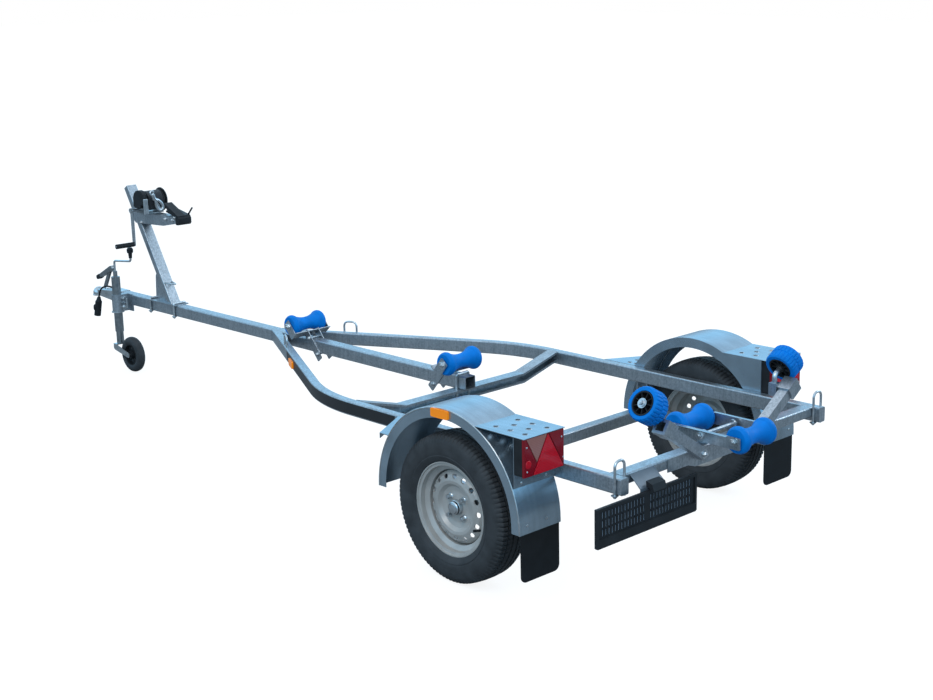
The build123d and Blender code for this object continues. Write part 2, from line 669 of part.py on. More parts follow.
bend = radians(BEAM_BEND_ANGLE)
reflector_y = (BEAM_MEET_X - REFLECTOR_X) * tan(bend) + BEAM_WIDTH / 2 / cos(bend)
reflector_plane = Plane((REFLECTOR_X, reflector_y, REFLECTOR_Z), (-cos(bend), sin(bend), 0), (sin(bend), cos(bend), 0))
with BuildPart() as side_markers:
    for marker_plane in (Plane((MARKER_X, GUARD_OUTER_Y, MARKER_Z), (-1, 0, 0), (0, 1, 0)), reflector_plane):
        with BuildSketch(marker_plane):
            RectangleRounded(MARKER_LENGTH, MARKER_HEIGHT, 6)
        extrude(amount=MARKER_DEPTH)
    mirror(about=Plane.XZ)
keep(side_markers, "side_markers")

# ---------------------------------------------------------------- number plate carrier
PLATE_MID_Y = PLATE_LEFT_Y - PLATE_LENGTH / 2
PLATE_MID_Z = PLATE_TOP_Z - PLATE_HEIGHT / 2
with BuildPart() as plate_frame:
    with BuildSketch(Plane((PLATE_REAR_X, PLATE_MID_Y, PLATE_MID_Z), (0, 1, 0), (1, 0, 0))):
        RectangleRounded(PLATE_LENGTH, PLATE_HEIGHT, 6)
        with Locations((0, PLATE_BORDER / 2)):
            Rectangle(PLATE_LENGTH - 2 * PLATE_BORDER, PLATE_HEIGHT - 3 * PLATE_BORDER, mode=Mode.SUBTRACT)
    extrude(amount=PLATE_DEPTH)
    rib_plane = Plane((PLATE_REAR_X + PLATE_DEPTH / 2, PLATE_MID_Y, PLATE_MID_Z), (0, 1, 0), (1, 0, 0))
    with BuildSketch(rib_plane):
        with GridLocations((PLATE_LENGTH - 2 * PLATE_BORDER) / 12, 1, 11, 1):
            Rectangle(PLATE_RIB, PLATE_HEIGHT - PLATE_BORDER)
        with GridLocations(1, (PLATE_HEIGHT - 3 * PLATE_BORDER) / 4, 1, 3):
            with Locations((0, PLATE_BORDER / 2)):
                Rectangle(PLATE_LENGTH - PLATE_BORDER, PLATE_RIB)
    extrude(amount=PLATE_DEPTH / 2)
keep(plate_frame, "plate_frame")

PLATE_SHEET = 3
BRACKET_WIDTH = 130
BRACKET_Y = 470
PLATE_FRONT_X = PLATE_REAR_X + PLATE_DEPTH
with BuildPart() as plate_bracket:
    with BuildSketch(Plane.XZ.offset(-BRACKET_Y - BRACKET_WIDTH / 2)):
        with BuildLine():
            Polyline(
                (REAR_CROSS_REAR_X, FRAME_TOP - 6),
                (REAR_CROSS_REAR_X, FRAME_TOP - 26),
                (REAR_CROSS_REAR_X - PLATE_SHEET, FRAME_TOP - 26),
                (REAR_CROSS_REAR_X - PLATE_SHEET, FRAME_TOP - 6 - PLATE_SHEET),
                (PLATE_FRONT_X + PLATE_SHEET, PLATE_TOP_Z + 8),
                (PLATE_FRONT_X + PLATE_SHEET, PLATE_TOP_Z - PLATE_HEIGHT + 20),
                (PLATE_FRONT_X, PLATE_TOP_Z - PLATE_HEIGHT + 20),
                (PLATE_FRONT_X, PLATE_TOP_Z + 8 + PLATE_SHEET),
                close=True,
            )
        make_face()
    extrude(amount=BRACKET_WIDTH)
keep(plate_bracket, "plate_bracket")

with BuildPart() as plate_lamp:
    with BuildSketch(Plane.XZ.offset(-BRACKET_Y - 35)):
        with BuildLine():
            Polyline(
                (PLATE_FRONT_X, PLATE_TOP_Z + 12),
                (PLATE_FRONT_X + 2, PLATE_TOP_Z + 34),
                (PLATE_REAR_X - 14, PLATE_TOP_Z + 26),
                (PLATE_REAR_X - 22, PLATE_TOP_Z + 2),
                (PLATE_REAR_X - 2, PLATE_TOP_Z + 2),
                (PLATE_REAR_X - 2, PLATE_TOP_Z + 12),
                close=True,
            )
        make_face()
    extrude(amount=70)
keep(plate_lamp, "plate_lamp")

# ---------------------------------------------------------------- winch post
post_lean = radians(POST_LEAN)
post_plane = Plane((POST_BASE_X, 0, FRAME_TOP), (0, 1, 0), (sin(post_lean), 0, cos(post_lean)))
POST_FOOT_Z = FRAME_TOP + POST_BASE_PLATE
with BuildPart() as winch_post:
    with BuildSketch(post_plane.offset(-2 * POST_DEPTH)):
        with Locations((0, -POST_DEPTH / 2)):
            RectangleRounded(POST_WIDTH, POST_DEPTH, TUBE_CORNER)
            Rectangle(POST_WIDTH - 2 * POST_WALL, POST_DEPTH - 2 * POST_WALL, mode=Mode.SUBTRACT)
    extrude(amount=POST_LENGTH + 2 * POST_DEPTH)
    with BuildSketch(Plane.XY.offset(POST_FOOT_Z)):
        with Locations((POST_BASE_X, 0)):
            Rectangle(6 * POST_WIDTH, 2 * POST_WIDTH)
    extrude(amount=-4 * POST_DEPTH, mode=Mode.SUBTRACT)
    with BuildSketch(Plane.XY.offset(FRAME_TOP)):
        with Locations(((POST_BASE_REAR_X + POST_BASE_FRONT_X) / 2, 0)):
            Rectangle(POST_BASE_FRONT_X - POST_BASE_REAR_X, POST_BASE_WIDTH)
        for bolt_x in POST_BOLT_XS:
            with Locations((bolt_x, U_BOLT_HALF_GAP), (bolt_x, -U_BOLT_HALF_GAP)):
                Circle(U_BOLT_RADIUS + 3 * CLEARANCE, mode=Mode.SUBTRACT)
    extrude(amount=POST_BASE_PLATE)
    with BuildSketch(Plane.XZ.offset(-3)):
        with BuildLine():
            front_x = POST_BASE_X + POST_DEPTH / cos(post_lean) - 6
            Polyline(
                (front_x, POST_FOOT_Z - 2),
                (GUSSET_FRONT_X, POST_FOOT_Z - 2),
                (GUSSET_FRONT_X - 10, FRAME_TOP + 134),
                (front_x + (FRAME_TOP + 190 - POST_FOOT_Z) * tan(post_lean), FRAME_TOP + 190),
                close=True,
            )
        make_face()
    extrude(amount=6)
    with BuildSketch(post_plane.offset(-POST_DEPTH)):
        with Locations((0, -POST_DEPTH / 2)):
            Rectangle(POST_WIDTH - 2 * POST_WALL, POST_DEPTH - 2 * POST_WALL)
    extrude(amount=POST_LENGTH / 2, mode=Mode.SUBTRACT)
    with BuildSketch(post_plane.offset(POST_LENGTH)):
        with Locations((0, -POST_DEPTH / 2)):
            RectangleRounded(POST_WIDTH, POST_DEPTH, TUBE_CORNER)
    extrude(amount=-POST_WALL)
keep(winch_post, "winch_post")

# ---------------------------------------------------------------- winch bracket, winch and bow stop
WINCH_PLATE_REAR_X = 2927
bracket_outline = (
    (3398, WINCH_FLOOR_Z + 4),
    (3398, WINCH_FLOOR_Z - 14),
    (3340, WINCH_FLOOR_Z - 64),
    (3060, WINCH_FLOOR_Z - 54),
    (WINCH_PLATE_REAR_X, WINCH_FLOOR_Z - 30),
    (WINCH_PLATE_REAR_X, WINCH_FLOOR_Z + 6),
    (3025, WINCH_FLOOR_Z),
    (3310, WINCH_FLOOR_Z),
)
PLATE_GAP_Y = POST_WIDTH / 2
with BuildPart() as winch_bracket:
    for side, side_name in SIDES:
        with BuildSketch(Plane((0, side * PLATE_GAP_Y, 0), (1, 0, 0), (0, side, 0))):
            with BuildLine():
                Polyline(*[(x, -side * z) for x, z in bracket_outline], close=True)
            make_face()
        extrude(amount=WINCH_PLATE_SHEET)
    with BuildSketch(Plane.XY.offset(WINCH_FLOOR_Z)):
        with Locations((3040, 0)):
            Rectangle(
                268, 2 * PLATE_GAP_Y + 2 * WINCH_PLATE_SHEET, align=(Align.MIN, Align.CENTER)
            )
    extrude(amount=-WINCH_PLATE_SHEET)
keep(winch_bracket, "winch_bracket")

BOW_HALF_WIDTH = PLATE_GAP_Y + WINCH_PLATE_SHEET + 5
with BuildPart() as bow_stop:
    with BuildSketch(Plane.XZ.offset(BOW_HALF_WIDTH)):
        with BuildLine():
            stop_x = WINCH_PLATE_REAR_X
            Polyline(
                (stop_x, WINCH_FLOOR_Z - 36),
                (stop_x, WINCH_FLOOR_Z + 6.3),
                (stop_x + 90, WINCH_FLOOR_Z + 26),
                (stop_x + 86, WINCH_FLOOR_Z + 35),
                (stop_x - 22, WINCH_FLOOR_Z + 14),
                (stop_x - 32, WINCH_FLOOR_Z),
                (stop_x - 32, WINCH_FLOOR_Z - 26),
                (stop_x - 22, WINCH_FLOOR_Z - 36),
                close=True,
            )
        make_face()
    extrude(amount=-2 * BOW_HALF_WIDTH)
    lever_foot = (WINCH_PLATE_REAR_X - 8, -BOW_HALF_WIDTH + 6, WINCH_FLOOR_Z + 8)
    with BuildSketch(Plane(lever_foot, (0, 1, 0), (-0.72, 0, 0.69))):
        Circle(4.5)
    extrude(amount=66)
keep(bow_stop, "bow_stop")

GEAR_COVER_WIDTH = 34
DRUM_END_GAP = 3
with BuildPart() as winch_frame:
    for side, side_name in SIDES:
        with BuildSketch(Plane((0, side * WINCH_HALF_WIDTH, 0), (1, 0, 0), (0, side, 0))):
            with Locations((WINCH_AXIS_X, -side * WINCH_AXIS_Z)):
                Circle(26)
            with Locations(((WINCH_AXIS_X + PINION_AXIS_X) / 2, -side * (WINCH_FLOOR_Z + 12))):
                Rectangle(100, 16)
            make_hull()
            with Locations((WINCH_AXIS_X, -side * WINCH_AXIS_Z)):
                Circle(8 + CLEARANCE, mode=Mode.SUBTRACT)
            with Locations((PINION_AXIS_X, -side * PINION_AXIS_Z)):
                Circle(8 + RUNNING_CLEARANCE, mode=Mode.SUBTRACT)
        extrude(amount=3)
    with BuildSketch(Plane.XY.offset(WINCH_FLOOR_Z)):
        with Locations(((WINCH_AXIS_X + PINION_AXIS_X) / 2, 0)):
            Rectangle(100, 2 * WINCH_HALF_WIDTH + 6)
    extrude(amount=4)
keep(winch_frame, "winch_frame")

COVER_Y = WINCH_HALF_WIDTH + 3
with BuildPart() as gear_cover:
    with BuildSketch(Plane((0, COVER_Y, 0), (1, 0, 0), (0, 1, 0))):
        with Locations((WINCH_AXIS_X, -WINCH_AXIS_Z)):
            Circle(66)
        with Locations((PINION_AXIS_X, -PINION_AXIS_Z)):
            Circle(20)
            Circle(8 + CLEARANCE, mode=Mode.SUBTRACT)
        with Locations((WINCH_AXIS_X, -WINCH_AXIS_Z)):
            Circle(8 + CLEARANCE, mode=Mode.SUBTRACT)
    extrude(amount=GEAR_COVER_WIDTH)
keep(gear_cover, "gear_cover")

with BuildPart() as winch_drum:
    drum_plane = Plane((WINCH_AXIS_X, 0, WINCH_AXIS_Z), (1, 0, 0), (0, 1, 0))
    with BuildSketch(drum_plane.offset(-WINCH_HALF_WIDTH - 10)):
        Circle(8)
    extrude(amount=2 * WINCH_HALF_WIDTH + 20)
    with BuildSketch(drum_plane.offset(-WINCH_HALF_WIDTH + DRUM_END_GAP)):
        Circle(DRUM_CORE_RADIUS)
    extrude(amount=2 * (WINCH_HALF_WIDTH - DRUM_END_GAP))
    for end in (-WINCH_HALF_WIDTH + DRUM_END_GAP, WINCH_HALF_WIDTH - DRUM_END_GAP - 3):
        with BuildSketch(drum_plane.offset(end)):
            Circle(DRUM_FLANGE_RADIUS)
        extrude(amount=3)
keep(winch_drum, "winch_drum")

STRAP_RADIUS = 46
STRAP_HALF = WINCH_HALF_WIDTH - DRUM_END_GAP - 3 - 2
with BuildPart() as winch_strap:
    with BuildSketch(drum_plane.offset(-STRAP_HALF)):
        Circle(STRAP_RADIUS)
        Circle(DRUM_CORE_RADIUS, mode=Mode.SUBTRACT)
    extrude(amount=2 * STRAP_HALF)
keep(winch_strap, "winch_strap")

CRANK_Y = COVER_Y + GEAR_COVER_WIDTH + 12
with BuildPart() as winch_crank:
    crank_plane = Plane((PINION_AXIS_X, 0, PINION_AXIS_Z), (1, 0, 0), (0, 1, 0))
    with BuildSketch(crank_plane.offset(-WINCH_HALF_WIDTH - 12)):
        Circle(8)
    extrude(amount=WINCH_HALF_WIDTH + 12 + CRANK_Y)
    with BuildSketch(crank_plane.offset(CRANK_Y - 6)):
        Circle(14)
        with Locations((0, CRANK_LENGTH)):
            Circle(12)
        make_hull()
    extrude(amount=6)
    with BuildSketch(crank_plane.offset(CRANK_Y)):
        Circle(13)
    extrude(amount=8)
    with BuildSketch(crank_plane.offset(CRANK_Y)):
        with Locations((0, CRANK_LENGTH)):
            Circle(6)
    extrude(amount=CRANK_GRIP_LENGTH)
keep(winch_crank, "winch_crank")

with BuildPart() as crank_grip:
    with BuildSketch(crank_plane.offset(CRANK_Y + 3)):
        with Locations((0, CRANK_LENGTH)):
            Circle(13)
            Circle(6, mode=Mode.SUBTRACT)
    extrude(amount=CRANK_GRIP_LENGTH - 6)
keep(crank_grip, "crank_grip")

with BuildPart() as winch_hook:
    hook_x = WINCH_AXIS_X - DRUM_FLANGE_RADIUS - 14
    with BuildSketch(Plane((hook_x, 0, WINCH_FLOOR_Z + 31.4), (0, 1, 0), (1, 0, 0.35))):
        with Locations((0, -16)):
            Circle(17)
        with Locations((0, 36)):
            Circle(9)
        make_hull()
        with Locations((0, -16)):
            Circle(10, mode=Mode.SUBTRACT)
        with Locations((0, 2)):
            Circle(6, mode=Mode.SUBTRACT)
    extrude(amount=8, both=False)
keep(winch_hook, "winch_hook")

# ---------------------------------------------------------------- jockey wheel
CLAMP_LOW_Z = 424
CLAMP_HIGH_Z = 520
CLAMP_WALL = 6
with BuildPart() as jockey_clamp:
    with BuildSketch(Plane.XY.offset(CLAMP_LOW_Z)):
        with Locations((JOCKEY_X, JOCKEY_Y)):
            Circle(JOCKEY_TUBE_RADIUS + CLAMP_WALL)
        with Locations((JOCKEY_X - 6, (JOCKEY_Y + DRAWBAR_WIDTH / 2) / 2)):
            Rectangle(36, JOCKEY_Y - DRAWBAR_WIDTH / 2)
        with Locations((JOCKEY_X, JOCKEY_Y)):
            Circle(JOCKEY_TUBE_RADIUS + CLEARANCE, mode=Mode.SUBTRACT)
    extrude(amount=CLAMP_HIGH_Z - CLAMP_LOW_Z)
    with BuildSketch(Plane.XZ.offset(-DRAWBAR_WIDTH / 2)):
        with Locations((JOCKEY_X - 20, (CLAMP_HIGH_Z + CLAMP_LOW_Z) / 2)):
            Rectangle(100, CLAMP_HIGH_Z - CLAMP_LOW_Z)
    extrude(amount=-6)
keep(jockey_clamp, "jockey_clamp")

jockey_plane = Plane((JOCKEY_X, JOCKEY_Y, 0), (1, 0, 0), (0, 0, 1))
with BuildPart() as jockey_tube:
    with BuildSketch(jockey_plane.offset(JOCKEY_TUBE_BOTTOM_Z)):
        Circle(JOCKEY_TUBE_RADIUS)
        Circle(JOCKEY_TUBE_RADIUS - JOCKEY_TUBE_WALL, mode=Mode.SUBTRACT)
    extrude(amount=JOCKEY_TUBE_TOP_Z - JOCKEY_TUBE_BOTTOM_Z)
    with BuildSketch(jockey_plane.offset(JOCKEY_TUBE_TOP_Z - JOCKEY_CAP)):
        Circle(JOCKEY_TUBE_RADIUS)
    extrude(amount=JOCKEY_CAP + 2)
    with BuildSketch(jockey_plane.offset(JOCKEY_TUBE_TOP_Z)):
        Circle(12)
    extrude(amount=34)
keep(jockey_tube, "jockey_tube")

CRANK_FOOT_Z = JOCKEY_TUBE_TOP_Z + 34
with BuildPart() as jockey_crank:
    with BuildLine() as crank_path:
        FilletPolyline(
            (JOCKEY_X, JOCKEY_Y, CRANK_FOOT_Z),
            (JOCKEY_X, JOCKEY_Y, CRANK_FOOT_Z + 58),
            (JOCKEY_X - 178, JOCKEY_Y, CRANK_FOOT_Z + 76),
            (JOCKEY_X - 178, JOCKEY_Y, CRANK_FOOT_Z + 106),
            radius=16,
        )
    with BuildSketch(jockey_plane.offset(CRANK_FOOT_Z)):
        Circle(6)
    sweep(path=crank_path.wire())
keep(jockey_crank, "jockey_crank")

with BuildPart() as jockey_knob:
    knob_plane = Plane((JOCKEY_X - 178, JOCKEY_Y, CRANK_FOOT_Z + 106), (1, 0, 0), (0, -1, 0))
    with BuildSketch(knob_plane):
        with BuildLine():
            Polyline((0, -12), (9, -12), (11, 14), (17, 20), (18, 36), (12, 46), (0, 48), close=True)
        make_face()
    revolve(axis=Axis((JOCKEY_X - 178, JOCKEY_Y, 0), (0, 0, 1)))
    with BuildSketch(Plane((JOCKEY_X - 178, JOCKEY_Y, CRANK_FOOT_Z + 94), (1, 0, 0), (0, 0, 1))):
        Circle(6)
    extrude(amount=12, mode=Mode.SUBTRACT)
keep(jockey_knob, "jockey_knob")

FORK_TOP_Z = JOCKEY_WHEEL_Z + 46
with BuildPart() as jockey_leg:
    with BuildSketch(jockey_plane.offset(FORK_TOP_Z + CLEARANCE)):
        Circle(JOCKEY_LEG_RADIUS)
        Circle(JOCKEY_LEG_RADIUS - 3, mode=Mode.SUBTRACT)
    extrude(amount=JOCKEY_TUBE_TOP_Z - JOCKEY_CAP - JOCKEY_LIFT_UP - 6 - FORK_TOP_Z)
    with BuildSketch(jockey_plane.offset(FORK_TOP_Z + CLEARANCE)):
        Circle(JOCKEY_LEG_RADIUS)
    extrude(amount=4)
keep(jockey_leg, "jockey_leg")

FORK_HALF_WIDTH = JOCKEY_WHEEL_WIDTH / 2 + 7
with BuildPart() as jockey_fork:
    for side, side_name in SIDES:
        with BuildSketch(Plane((JOCKEY_WHEEL_X, JOCKEY_Y + side * FORK_HALF_WIDTH, JOCKEY_WHEEL_Z), (1, 0, 0), (0, side, 0))):
            Circle(15)
            with Locations((JOCKEY_TRAIL, -side * 28)):
                Circle(18)
            make_hull()
        extrude(amount=4)
    with Locations((JOCKEY_X, JOCKEY_Y, FORK_TOP_Z)):
        Box(36, 2 * FORK_HALF_WIDTH + 8, 5, align=(Align.CENTER, Align.CENTER, Align.MAX))
    with BuildSketch(Plane((JOCKEY_WHEEL_X, JOCKEY_Y - FORK_HALF_WIDTH - 4, JOCKEY_WHEEL_Z), (1, 0, 0), (0, 1, 0))):
        Circle(8)
    extrude(amount=2 * FORK_HALF_WIDTH + 8)
keep(jockey_fork, "jockey_fork")

JOCKEY_RIM_RADIUS = 60
jockey_section = Plane((JOCKEY_WHEEL_X, JOCKEY_Y, JOCKEY_WHEEL_Z), (0, 1, 0), (-1, 0, 0))
jockey_axis = Axis((JOCKEY_WHEEL_X, JOCKEY_Y, JOCKEY_WHEEL_Z), (0, 1, 0))
with BuildPart() as jockey_tyre:
    with BuildSketch(jockey_section):
        with BuildLine():
            half = JOCKEY_WHEEL_WIDTH / 2
            Line((-half + 6, JOCKEY_RIM_RADIUS), (half - 6, JOCKEY_RIM_RADIUS))
            ThreePointArc((half - 6, JOCKEY_RIM_RADIUS), (half, JOCKEY_RIM_RADIUS + 18), (half - 8, JOCKEY_WHEEL_RADIUS - 5))
            ThreePointArc(
                (half - 8, JOCKEY_WHEEL_RADIUS - 5), (0, JOCKEY_WHEEL_RADIUS), (-half + 8, JOCKEY_WHEEL_RADIUS - 5)
            )
            ThreePointArc(
                (-half + 8, JOCKEY_WHEEL_RADIUS - 5), (-half, JOCKEY_RIM_RADIUS + 18), (-half + 6, JOCKEY_RIM_RADIUS)
            )
        make_face()
    revolve(axis=jockey_axis)
keep(jockey_tyre, "jockey_tyre")

with BuildPart() as jockey_rim:
    with BuildSketch(jockey_section):
        with BuildLine():
            half = JOCKEY_WHEEL_WIDTH / 2
            bore = 8 + RUNNING_CLEARANCE
            Polyline(
                (-half, bore),
                (-half, 20),
                (-3, 24),
                (-3, JOCKEY_RIM_RADIUS - 8),
                (-half + 5, JOCKEY_RIM_RADIUS - 5),
                (-half + 5, JOCKEY_RIM_RADIUS),
                (half - 5, JOCKEY_RIM_RADIUS),
                (half - 5, JOCKEY_RIM_RADIUS - 5),
                (3, JOCKEY_RIM_RADIUS - 8),
                (3, 24),
                (half, 20),
                (half, bore),
                close=True,
            )
        make_face()
    revolve(axis=jockey_axis)
    with BuildSketch(Plane((JOCKEY_WHEEL_X, JOCKEY_Y, JOCKEY_WHEEL_Z), (1, 0, 0), (0, 1, 0))):
        with PolarLocations(38, 5):
            Circle(9)
    extrude(amount=half, both=True, mode=Mode.SUBTRACT)
keep(jockey_rim, "jockey_rim")

# ---------------------------------------------------------------- ball coupling
BALL_Z = 471
SOCKET_RADIUS = BALL_RADIUS + 0.4
SOCKET_WALL = 9
LUG_PIN = (3785, 518)
LUG_HALF = 4
LINK_SHEET = 4
with BuildPart() as coupling_head:
    with BuildSketch(Plane.YZ.offset(DRAWBAR_FRONT_X - 90)):
        with Locations((0, FRAME_TOP - DRAWBAR_HEIGHT / 2)):
            RectangleRounded(DRAWBAR_WIDTH + 8, DRAWBAR_HEIGHT + 8, TUBE_CORNER + 3)
            Rectangle(DRAWBAR_WIDTH + CLEARANCE, DRAWBAR_HEIGHT + CLEARANCE, mode=Mode.SUBTRACT)
    extrude(amount=90)
    with BuildSketch(Plane.YZ.offset(DRAWBAR_FRONT_X)):
        with Locations((0, FRAME_TOP - DRAWBAR_HEIGHT / 2)):
            RectangleRounded(DRAWBAR_WIDTH + 8, DRAWBAR_HEIGHT + 8, TUBE_CORNER + 3)
    with BuildSketch(Plane.YZ.offset(BALL_X - 24)):
        with Locations((0, BALL_Z + 8)):
            RectangleRounded(50, 40, 9)
    loft()
    coupling_section = Plane((BALL_X, 0, BALL_Z), (1, 0, 0), (0, -1, 0))
    with BuildSketch(coupling_section):
        with BuildLine():
            dome = SOCKET_RADIUS + SOCKET_WALL
            Polyline((0, dome), (0, -14), (dome + 3, -14), (dome + 3, -9), (dome, -7), (dome, 0))
            RadiusArc((dome, 0), (0, dome), -dome)
        make_face()
    revolve(axis=Axis((BALL_X, 0, BALL_Z), (0, 0, 1)))
    with BuildSketch(Plane.XZ.offset(-LUG_HALF)):
        with Locations(LUG_PIN):
            Circle(8)
        with Locations((LUG_PIN[0], BALL_Z + 16)):
            Rectangle(30, 10)
        make_hull()
    extrude(amount=2 * LUG_HALF)
    with BuildSketch(Plane.XZ.offset(-LUG_HALF - 6)):
        with Locations(LUG_PIN):
            Circle(4)
    extrude(amount=2 * LUG_HALF + 12)
    with Locations((BALL_X, 0, BALL_Z)):
        Sphere(SOCKET_RADIUS, mode=Mode.SUBTRACT)
    with BuildSketch(Plane((BALL_X, 0, BALL_Z), (1, 0, 0), (0, 0, -1))):
        Circle(SOCKET_RADIUS)
    extrude(amount=40, mode=Mode.SUBTRACT)
keep(coupling_head, "coupling_head")

with BuildPart() as coupling_handle:
    with BuildSketch(Plane.XZ.offset(-13)):
        with Locations((3846, 566)):
            Circle(9)
        with Locations((3694, 634)):
            Circle(15)
        make_hull()
    extrude(amount=26)
    for inner in (LUG_HALF + CLEARANCE, -LUG_HALF - CLEARANCE - LINK_SHEET):
        with BuildSketch(Plane.XZ.offset(-inner)):
            with Locations((3722, 616)):
                Circle(9)
            with Locations(LUG_PIN):
                Circle(8)
            make_hull()
            with Locations(LUG_PIN):
                Circle(4 + CLEARANCE, mode=Mode.SUBTRACT)
        extrude(amount=-LINK_SHEET)
keep(coupling_handle, "coupling_handle")

# ---------------------------------------------------------------- keel rollers
def roller_solid(x, z):
    """Waisted keel roller turning on its cross pin."""
    section = Plane((x, 0, z), (0, 1, 0), (-1, 0, 0))
    half = ROLLER_LENGTH / 2
    with BuildPart() as roller:
        with BuildSketch(section):
            with BuildLine():
                bore = ROLLER_PIN_RADIUS + ROLLER_BORE_CLEARANCE
                Polyline((half, ROLLER_END_RADIUS - 8), (half, bore), (-half, bore), (-half, ROLLER_END_RADIUS - 8))
                ThreePointArc(
                    (-half, ROLLER_END_RADIUS - 8), (-half + 12, ROLLER_END_RADIUS), (-half + 34, ROLLER_END_RADIUS - 6)
                )
                ThreePointArc(
                    (-half + 34, ROLLER_END_RADIUS - 6), (0, ROLLER_WAIST_RADIUS), (half - 34, ROLLER_END_RADIUS - 6)
                )
                ThreePointArc(
                    (half - 34, ROLLER_END_RADIUS - 6), (half - 12, ROLLER_END_RADIUS), (half, ROLLER_END_RADIUS - 8)
                )
            make_face()
        revolve(axis=Axis((x, 0, z), (0, 1, 0)))
    return roller


EAR_Y = ROLLER_LENGTH / 2 + 5
KEEL_BASE_DROP = ROLLER_END_RADIUS + 9
# keel rollers as (name, roller centre x, z, way the straps lean: -1 rearward, 1 forward, strap shift upward)
KEEL_ROLLERS = (
    ("front", 1885, 579, -1, 16),
    ("rear", 780, 574, 1, 29),
)
keel_lean = radians(KEEL_LEAN)
with BuildPart() as keel_brackets:
    for keel_name, keel_x, keel_z, way, shift in KEEL_ROLLERS:
        # local frame: x down along the strap, y across it towards the ground where way is 1, z to the left
        strap_plane = Plane((keel_x, 0, keel_z), (way * cos(keel_lean), 0, -sin(keel_lean)), (0, 1, 0))
        high_edge = shift + STRAP_WIDTH / 2
        # plates as (inner face from the middle, middle along and across the strap, length, width)
        for inner, middle, length, width in (
            (EAR_Y, (KEEL_BASE_DROP / 2 - 10, 0), KEEL_BASE_DROP + 26, KEEL_WIDTH),
            (DRAWBAR_WIDTH / 2 + CLEARANCE, (KEEL_BASE_DROP + 72, -way * shift), 165, STRAP_WIDTH),
        ):
            for offset_y in (inner, -inner - KEEL_BRACKET_SHEET):
                with BuildSketch(strap_plane.offset(offset_y)):
                    with Locations(middle):
                        RectangleRounded(length, width, 6)
                extrude(amount=KEEL_BRACKET_SHEET)
        with BuildSketch(strap_plane.offset(-EAR_Y - KEEL_BRACKET_SHEET)):
            with Locations((KEEL_BASE_DROP, way * (KEEL_BASE_LOW - high_edge) / 2)):
                Rectangle(KEEL_BRACKET_SHEET, KEEL_BASE_LOW + high_edge)
        extrude(amount=2 * (EAR_Y + KEEL_BRACKET_SHEET))
        with BuildSketch(strap_plane.offset(-EAR_Y - KEEL_BRACKET_SHEET - 6)):
            Circle(ROLLER_PIN_RADIUS)
        extrude(amount=2 * (EAR_Y + KEEL_BRACKET_SHEET + 6))
        for bolt_z in (FRAME_TOP + KEEL_BOLT_RADIUS + CLEARANCE, DRAWBAR_BOTTOM_Z - KEEL_BOLT_RADIUS - CLEARANCE):
            along = (keel_z + shift * cos(keel_lean) - bolt_z) / sin(keel_lean)
            bolt_x = keel_x + way * (along * cos(keel_lean) + shift * sin(keel_lean))
            with BuildSketch(Plane.XZ.offset(-DRAWBAR_WIDTH / 2 - 14)):
                with Locations((bolt_x, bolt_z)):
                    Circle(KEEL_BOLT_RADIUS)
            extrude(amount=DRAWBAR_WIDTH + 28)
keep(keel_brackets, "keel_brackets")

for keel_name, keel_x, keel_z, way, shift in KEEL_ROLLERS:
    keep(roller_solid(keel_x, keel_z), f"keel_roller_{keel_name}")

# ---------------------------------------------------------------- rear cradle
PIVOT_RADIUS = 8
CRADLE_PLATE_Y = EAR_Y + 3
with BuildPart() as cradle_frame:
    for side, side_name in SIDES:
        with BuildSketch(Plane((0, side * CRADLE_PLATE_Y, 0), (1, 0, 0), (0, side, 0))):
            with Locations(
                ((CRADLE_FRONT_X + CRADLE_REAR_X) / 2, -side * (CRADLE_TOP_Z - CRADLE_PLATE_HEIGHT / 2))
            ):
                RectangleRounded(CRADLE_FRONT_X - CRADLE_REAR_X, CRADLE_PLATE_HEIGHT, 6)
            with Locations((CRADLE_PIVOT_X, -side * CRADLE_PIVOT_Z)):
                Circle(PIVOT_RADIUS + ROLLER_BORE_CLEARANCE, mode=Mode.SUBTRACT)
        extrude(amount=CRADLE_PLATE_SHEET)
    for roller_x in (CRADLE_FRONT_ROLLER_X, CRADLE_REAR_ROLLER_X):
        with BuildSketch(Plane((roller_x, -CRADLE_PLATE_Y - 10, CRADLE_ROLLER_Z), (1, 0, 0), (0, 1, 0))):
            Circle(ROLLER_PIN_RADIUS)
        extrude(amount=2 * CRADLE_PLATE_Y + 20)
keep(cradle_frame, "cradle_frame")

for end_name, roller_x in (("front", CRADLE_FRONT_ROLLER_X), ("rear", CRADLE_REAR_ROLLER_X)):
    keep(roller_solid(roller_x, CRADLE_ROLLER_Z), f"cradle_roller_{end_name}")

with BuildPart() as cradle_pivot:
    with BuildSketch(Plane((CRADLE_PIVOT_X, -CRADLE_PLATE_Y - 14, CRADLE_PIVOT_Z), (1, 0, 0), (0, 1, 0))):
        Circle(PIVOT_RADIUS)
    extrude(amount=2 * CRADLE_PLATE_Y + 28)
    for side, side_name in SIDES:
        with BuildSketch(Plane((CRADLE_PIVOT_X, side * (CRADLE_PLATE_Y - 20), CRADLE_PIVOT_Z), (1, 0, 0), (0, side, 0))):
            Circle(18)
            with Locations((0, side * (CRADLE_PIVOT_Z - FRAME_TOP - 2))):
                Rectangle(44, 4)
            make_hull()
        extrude(amount=8)
keep(cradle_pivot, "cradle_pivot")

